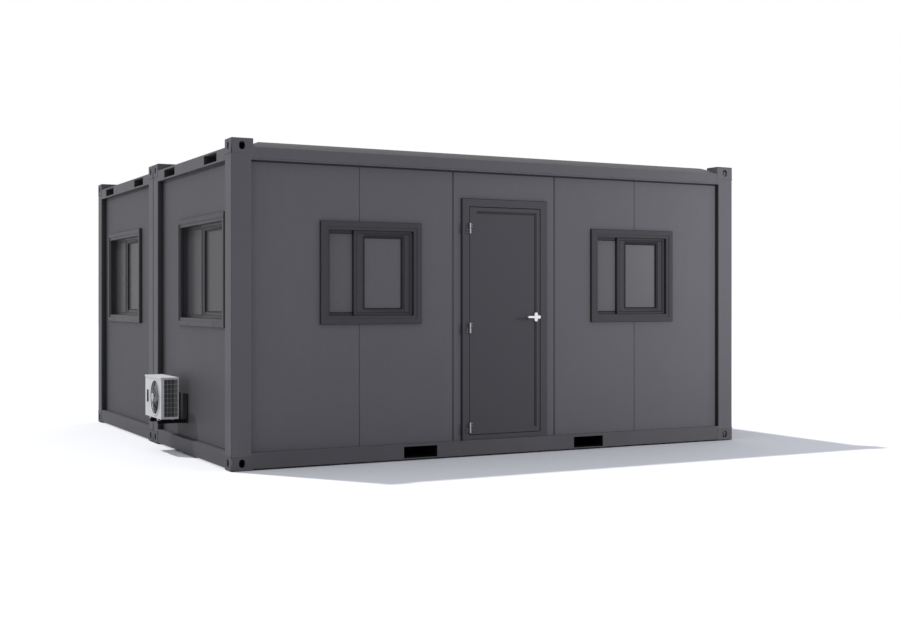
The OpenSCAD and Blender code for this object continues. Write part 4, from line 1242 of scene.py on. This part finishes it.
@dataclass
class Condenser:
    """The condenser on the left end: rounded casing, wire guards, finned coil and fan."""

    casing_edges: Rounding = Rounding(0.004, 3, 0.012)
    fan_edges: Rounding = Rounding(0.001)
    motor_edges: Rounding = Rounding(0.003)
    bracket_edges: Rounding = Rounding(0.002)
    wire: float = 0.0012
    rings: int = 7
    ring_steps: int = 48
    spokes: int = 10
    spoke_points: int = 13
    spoke_from: float = 0.8
    cap: float = 0.037
    cap_rim: float = 0.0025
    cap_flat: float = 0.9
    cap_bend: float = 0.002
    cap_top: float = 0.0035
    columns: int = 5
    rows: int = 9
    coil_depth: float = 0.024
    core_in: float = 0.008
    fin: float = 0.0012
    fin_pitch: float = 0.004
    screw: Outline = ((0.0, -0.001), (0.004, -0.001), (0.0034, 0.0014), (0.0, 0.0022))
    screw_shares: tuple[float, ...] = (0.12, 0.5, 0.88)
    screw_down: float = 0.007
    lid_lap: float = 0.004
    lid_ends: Span = (0.014, 0.006)

    def build(self) -> None:
        """Makes the condenser's pieces."""
        rounded("condenser_casing", CONDENSER_PAINT, self.casing_edges)
        rounded("condenser_fan", FAN_PLASTIC, self.fan_edges, "fan")
        rounded("condenser_motor", MOTOR_PAINT, self.motor_edges)
        # Painted shade: the black brackets stand for the deep shade on the wall behind the unit.
        rounded("condenser_brackets", BRACKET_AND_SHADE_BLACK, self.bracket_edges)
        self._fan_guard()
        self._side_guard()
        self._coil()
        self._screws()

    def _fan_guard(self) -> None:
        """Round wires on a shallow dome with a cap in the middle."""
        maker = MeshMaker()
        low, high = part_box("condenser_fan_guard")
        middle = middle_of((low, high))
        reach = (high.z - low.z) / 2 - self.wire
        rise = high.x - low.x - 2 * self.wire
        axis = Side.LEFT.out

        def hub(radius: float) -> Vector:
            """The middle of the dome's ring of a radius."""
            return Vector((high.x - self.wire - rise * (1 - (radius / reach) ** 2), middle.y, middle.z))

        for radius in steps_between(self.cap, reach, self.rings):
            maker.tube(circle(hub(radius), square_to(axis), radius, self.ring_steps), self.wire, closed=True)
        behind = Vector((self.wire, 0.0, 0.0))
        for k in range(self.spokes):
            turn = 2 * math.pi * k / self.spokes
            way = Vector((0.0, math.cos(turn), math.sin(turn)))
            run = steps_between(self.cap * self.spoke_from, reach, self.spoke_points)
            maker.tube([hub(radius) + radius * way + behind for radius in run], self.wire)
        top = rise * (self.cap / reach) ** 2
        maker.lathe(hub(self.cap) + behind, axis, (
            (0.0, 0.0), (self.cap, 0.0), (self.cap, self.cap_rim),
            (self.cap * self.cap_flat, top + self.cap_bend), (0.0, top + self.cap_top)), self.ring_steps)
        maker.publish("wire_fan_guard", GUARD_WIRE, ["condenser_fan_guard"])

    def _side_guard(self) -> None:
        """Round wires in the near side."""
        maker = MeshMaker()
        low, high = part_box("condenser_side_guard")
        y = low.y + self.wire
        for x in steps_between(low.x + self.wire, high.x - self.wire, self.columns):
            maker.tube([Vector((x, y, low.z)), Vector((x, y, high.z))], self.wire)
        y += self.wire
        for z in steps_between(low.z + self.wire, high.z - self.wire, self.rows):
            maker.tube([Vector((low.x, y, z)), Vector((high.x, y, z))], self.wire)
        maker.publish("wire_side_guard", GUARD_WIRE, ["condenser_side_guard"])

    def _coil(self) -> None:
        """Thin fins on a dark core, along the back and round to the near side."""
        fins, core = MeshMaker(), MeshMaker()
        low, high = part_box("condenser_coil")
        back, near = high.x - self.coil_depth, low.y + self.coil_depth
        corner = back + self.core_in
        core.box((corner, low.y + self.core_in, low.z), (high.x - self.core_in, high.y, high.z))
        core.box((low.x, low.y + self.core_in, low.z), (corner, near - self.core_in, high.z))
        for k in range(int((high.y - low.y) / self.fin_pitch)):
            y = low.y + k * self.fin_pitch
            fins.box((back, y, low.z), (high.x, y + self.fin, high.z))
        for k in range(int((back - low.x) / self.fin_pitch)):
            x = low.x + k * self.fin_pitch
            fins.box((x, low.y, low.z), (x + self.fin, near, high.z))
        fins.publish("coil_fin_pack", COIL_FINS, ["condenser_coil"])
        core.publish("coil_core", MOTOR_PAINT)

    def _screws(self) -> None:
        """Dome screws in the lid's rim on the near side."""
        maker = MeshMaker()
        low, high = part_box("condenser_casing")
        lid_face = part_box("condenser_side_guard")[0].y - self.lid_lap
        left, right = low.x + self.lid_ends[0], high.x - self.lid_ends[1]
        for share in self.screw_shares:
            place = (left + share * (right - left), lid_face, high.z - self.screw_down)
            maker.lathe(place, Side.FRONT.out, self.screw, steps=16)
        maker.publish("condenser_screws", BARE_METAL)


@dataclass
class RoofScrews:
    """Dome screws that hold the flashing over the joint of the roof pans."""

    screw: Outline = ((0.0, -0.003), (0.006, -0.003), (0.006, 0.0), (0.0048, 0.0028), (0.0, 0.004))
    pitch: float = 0.36
    edge_in: float = 0.03
    flat_edge: Span = (0.007, 0.003)
    share: float = 0.62

    def build(self) -> None:
        """Makes the screws along both slopes of the flashing."""
        maker = MeshMaker()
        low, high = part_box("roof_joint_cover")
        left, right = low.x + self.edge_in, high.x - self.edge_in
        half = (high.y - low.y) / 2
        wide, thick = self.flat_edge
        slope = math.atan2(high.z - low.z - thick, half - wide)
        along = half * self.share
        height = low.z + thick + (along - wide) * math.tan(slope)
        for x in steps_between(left, right, int((right - left) / self.pitch) + 1):
            for way in (-1, 1):
                up = Vector((0.0, -way * math.sin(slope), math.cos(slope)))
                maker.lathe((x, way * along, height), up, self.screw, steps=12)
        maker.publish("roof_screws", BARE_METAL)


@dataclass
class Studio:
    """Pale floor, soft light and the camera at the photograph's view."""

    camera_place: Place = (-5.4795, -12.357, 1.3255)
    camera_turn: float = 28.927
    lens: float = 52.58
    sensor: float = 36.0
    far: float = 500.0
    shift: Span = (-0.0646, -0.0105)
    floor_half: float = 60.0
    floor_level: float = -0.001
    floor_tone: float = 0.88
    floor_bounce: float = 0.62
    near_bounce: float = 0.06
    near_reach: float = 3.0
    fill: float = 0.72
    fill_tone: Colour = (0.955, 0.98, 1.08)
    sun_power: float = 2.25
    sun_size: float = 1.6
    sun_from: Place = (-0.272, 0.418, 0.876)
    side_power: float = 275.0
    side_place: Place = (5.6, -5.8, 2.1)
    side_aim: Place = (1.6, -2.4, 1.6)
    side_size: Span = (1.6, 1.2)
    sun_passes: tuple[str, ...] = ("rounded_end_", "window_", "sash_", "glass_", "wall_edge", "rail_slot")
    side_passes: tuple[str, ...] = (
        "rounded_front_window", "rounded_rear_window", "rounded_end_window", "rounded_door_frame",
        "rounded_corner_posts", "window_", "sash_", "glass_", "wall_", "door_trim")

    def build(self) -> None:
        """Sets up floor, light and camera."""
        bpy.context.scene.view_settings.view_transform = "Standard"
        self._floor()
        self._world()
        self._lamps()
        self._camera()

    def _floor(self) -> None:
        """The pale floor, which takes the cabin's shadow and throws back less light beside the left end."""
        half = self.floor_half
        corners = [(-half, -half, 0.0), (half, -half, 0.0), (half, half, 0.0), (-half, half, 0.0)]
        mesh = bpy.data.meshes.new("studio_floor")
        mesh.from_pydata(corners, [], [range(len(corners))])
        floor = in_scene("studio_floor", mesh)
        floor.location.z = self.floor_level
        material = bpy.data.materials.new("studio_floor")
        sheet = Sheet.of(material)
        axes = sheet.axes()
        end, front = CAD_BOX[0].x, CAD_BOX[0].y
        beside = sheet.maths("LESS_THAN", axes["X"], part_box("left_wall_panels")[0].x)
        level = sheet.maths("GREATER_THAN", axes["Y"], front)
        near = sheet.ramp(axes["X"], end - self.near_reach, end)
        share = sheet.times(near, sheet.times(beside, level))
        tone = sheet.blend(share, (self.floor_bounce,) * 3, (self.near_bounce,) * 3)
        sheet.mixed("OutputMaterial", sheet.add("BsdfDiffuse", Color=tone),
                    sheet.add("BsdfDiffuse", Color=(self.floor_tone,) * 3))
        mesh.materials.append(material)

    def _world(self) -> None:
        """Even fill light, seen as white by the camera, in reflections and through glass."""
        world = bpy.data.worlds.new("studio")
        bpy.context.scene.world = world
        sheet = Sheet.of(world)
        sheet.mixed("OutputWorld", sheet.add("Background", Color=self.fill_tone, Strength=self.fill),
                    sheet.add("Background", Color=(1.0, 1.0, 1.0), Strength=1.0))

    def _lamps(self) -> None:
        """A high sun from behind on the left and a low soft lamp in front on the right."""
        light = bpy.data.lights.new("high_sun", "SUN")
        light.energy = self.sun_power
        light.angle = math.radians(self.sun_size)
        sun = in_scene("high_sun", light)
        sun.rotation_euler = Vector(self.sun_from).to_track_quat("Z", "Y").to_euler()
        sun.light_linking.blocker_collection = self._pieces("sun_blockers", self.sun_passes)
        light = bpy.data.lights.new("side_lamp", "AREA")
        light.energy = self.side_power
        light.shape = "RECTANGLE"
        light.size, light.size_y = self.side_size
        lamp = in_scene("side_lamp", light)
        lamp.location = self.side_place
        away = Vector(self.side_place) - Vector(self.side_aim)
        lamp.rotation_euler = away.to_track_quat("Z", "Y").to_euler()
        lamp.visible_camera = lamp.visible_glossy = False
        lamp.light_linking.receiver_collection = self._pieces("side_lit", ("studio_floor",))
        lamp.light_linking.blocker_collection = self._pieces("side_blockers", self.side_passes)

    @staticmethod
    def _pieces(name: str, without: tuple[str, ...]) -> bpy.types.Collection:
        """A collection of all meshes but those whose names start in some ways.

        Args:
            name: Its name.
            without: Starts of the names that are left out.

        Returns:
            The collection.
        """
        group = bpy.data.collections.new(name)
        for piece in bpy.data.objects:
            if piece.type == "MESH" and not piece.name.startswith(without):
                group.objects.link(piece)
        return group

    def _camera(self) -> None:
        """The camera, level, at the photograph's place."""
        lens = bpy.data.cameras.new("photo_view")
        lens.sensor_width = self.sensor
        lens.lens = self.lens
        lens.shift_x, lens.shift_y = self.shift
        lens.clip_end = self.far
        camera = in_scene("photo_view", lens)
        camera.location = self.camera_place
        camera.rotation_euler = (math.radians(90), 0.0, math.radians(-self.camera_turn))
        bpy.context.scene.camera = camera


def main() -> None:
    """Builds the cabin's looks in order."""
    logging.basicConfig(level=logging.INFO, format="%(message)s")
    dress_nodes()
    for assembly in (SteelFrame(), WallSeals(), WallSkin(), Hollows(), Windows(), Entrance(), Condenser(),
                     RoofScrews(), Studio()):
        assembly.build()
        LOG.info("%s done", type(assembly).__name__)


if __name__ == "__main__":
    main()
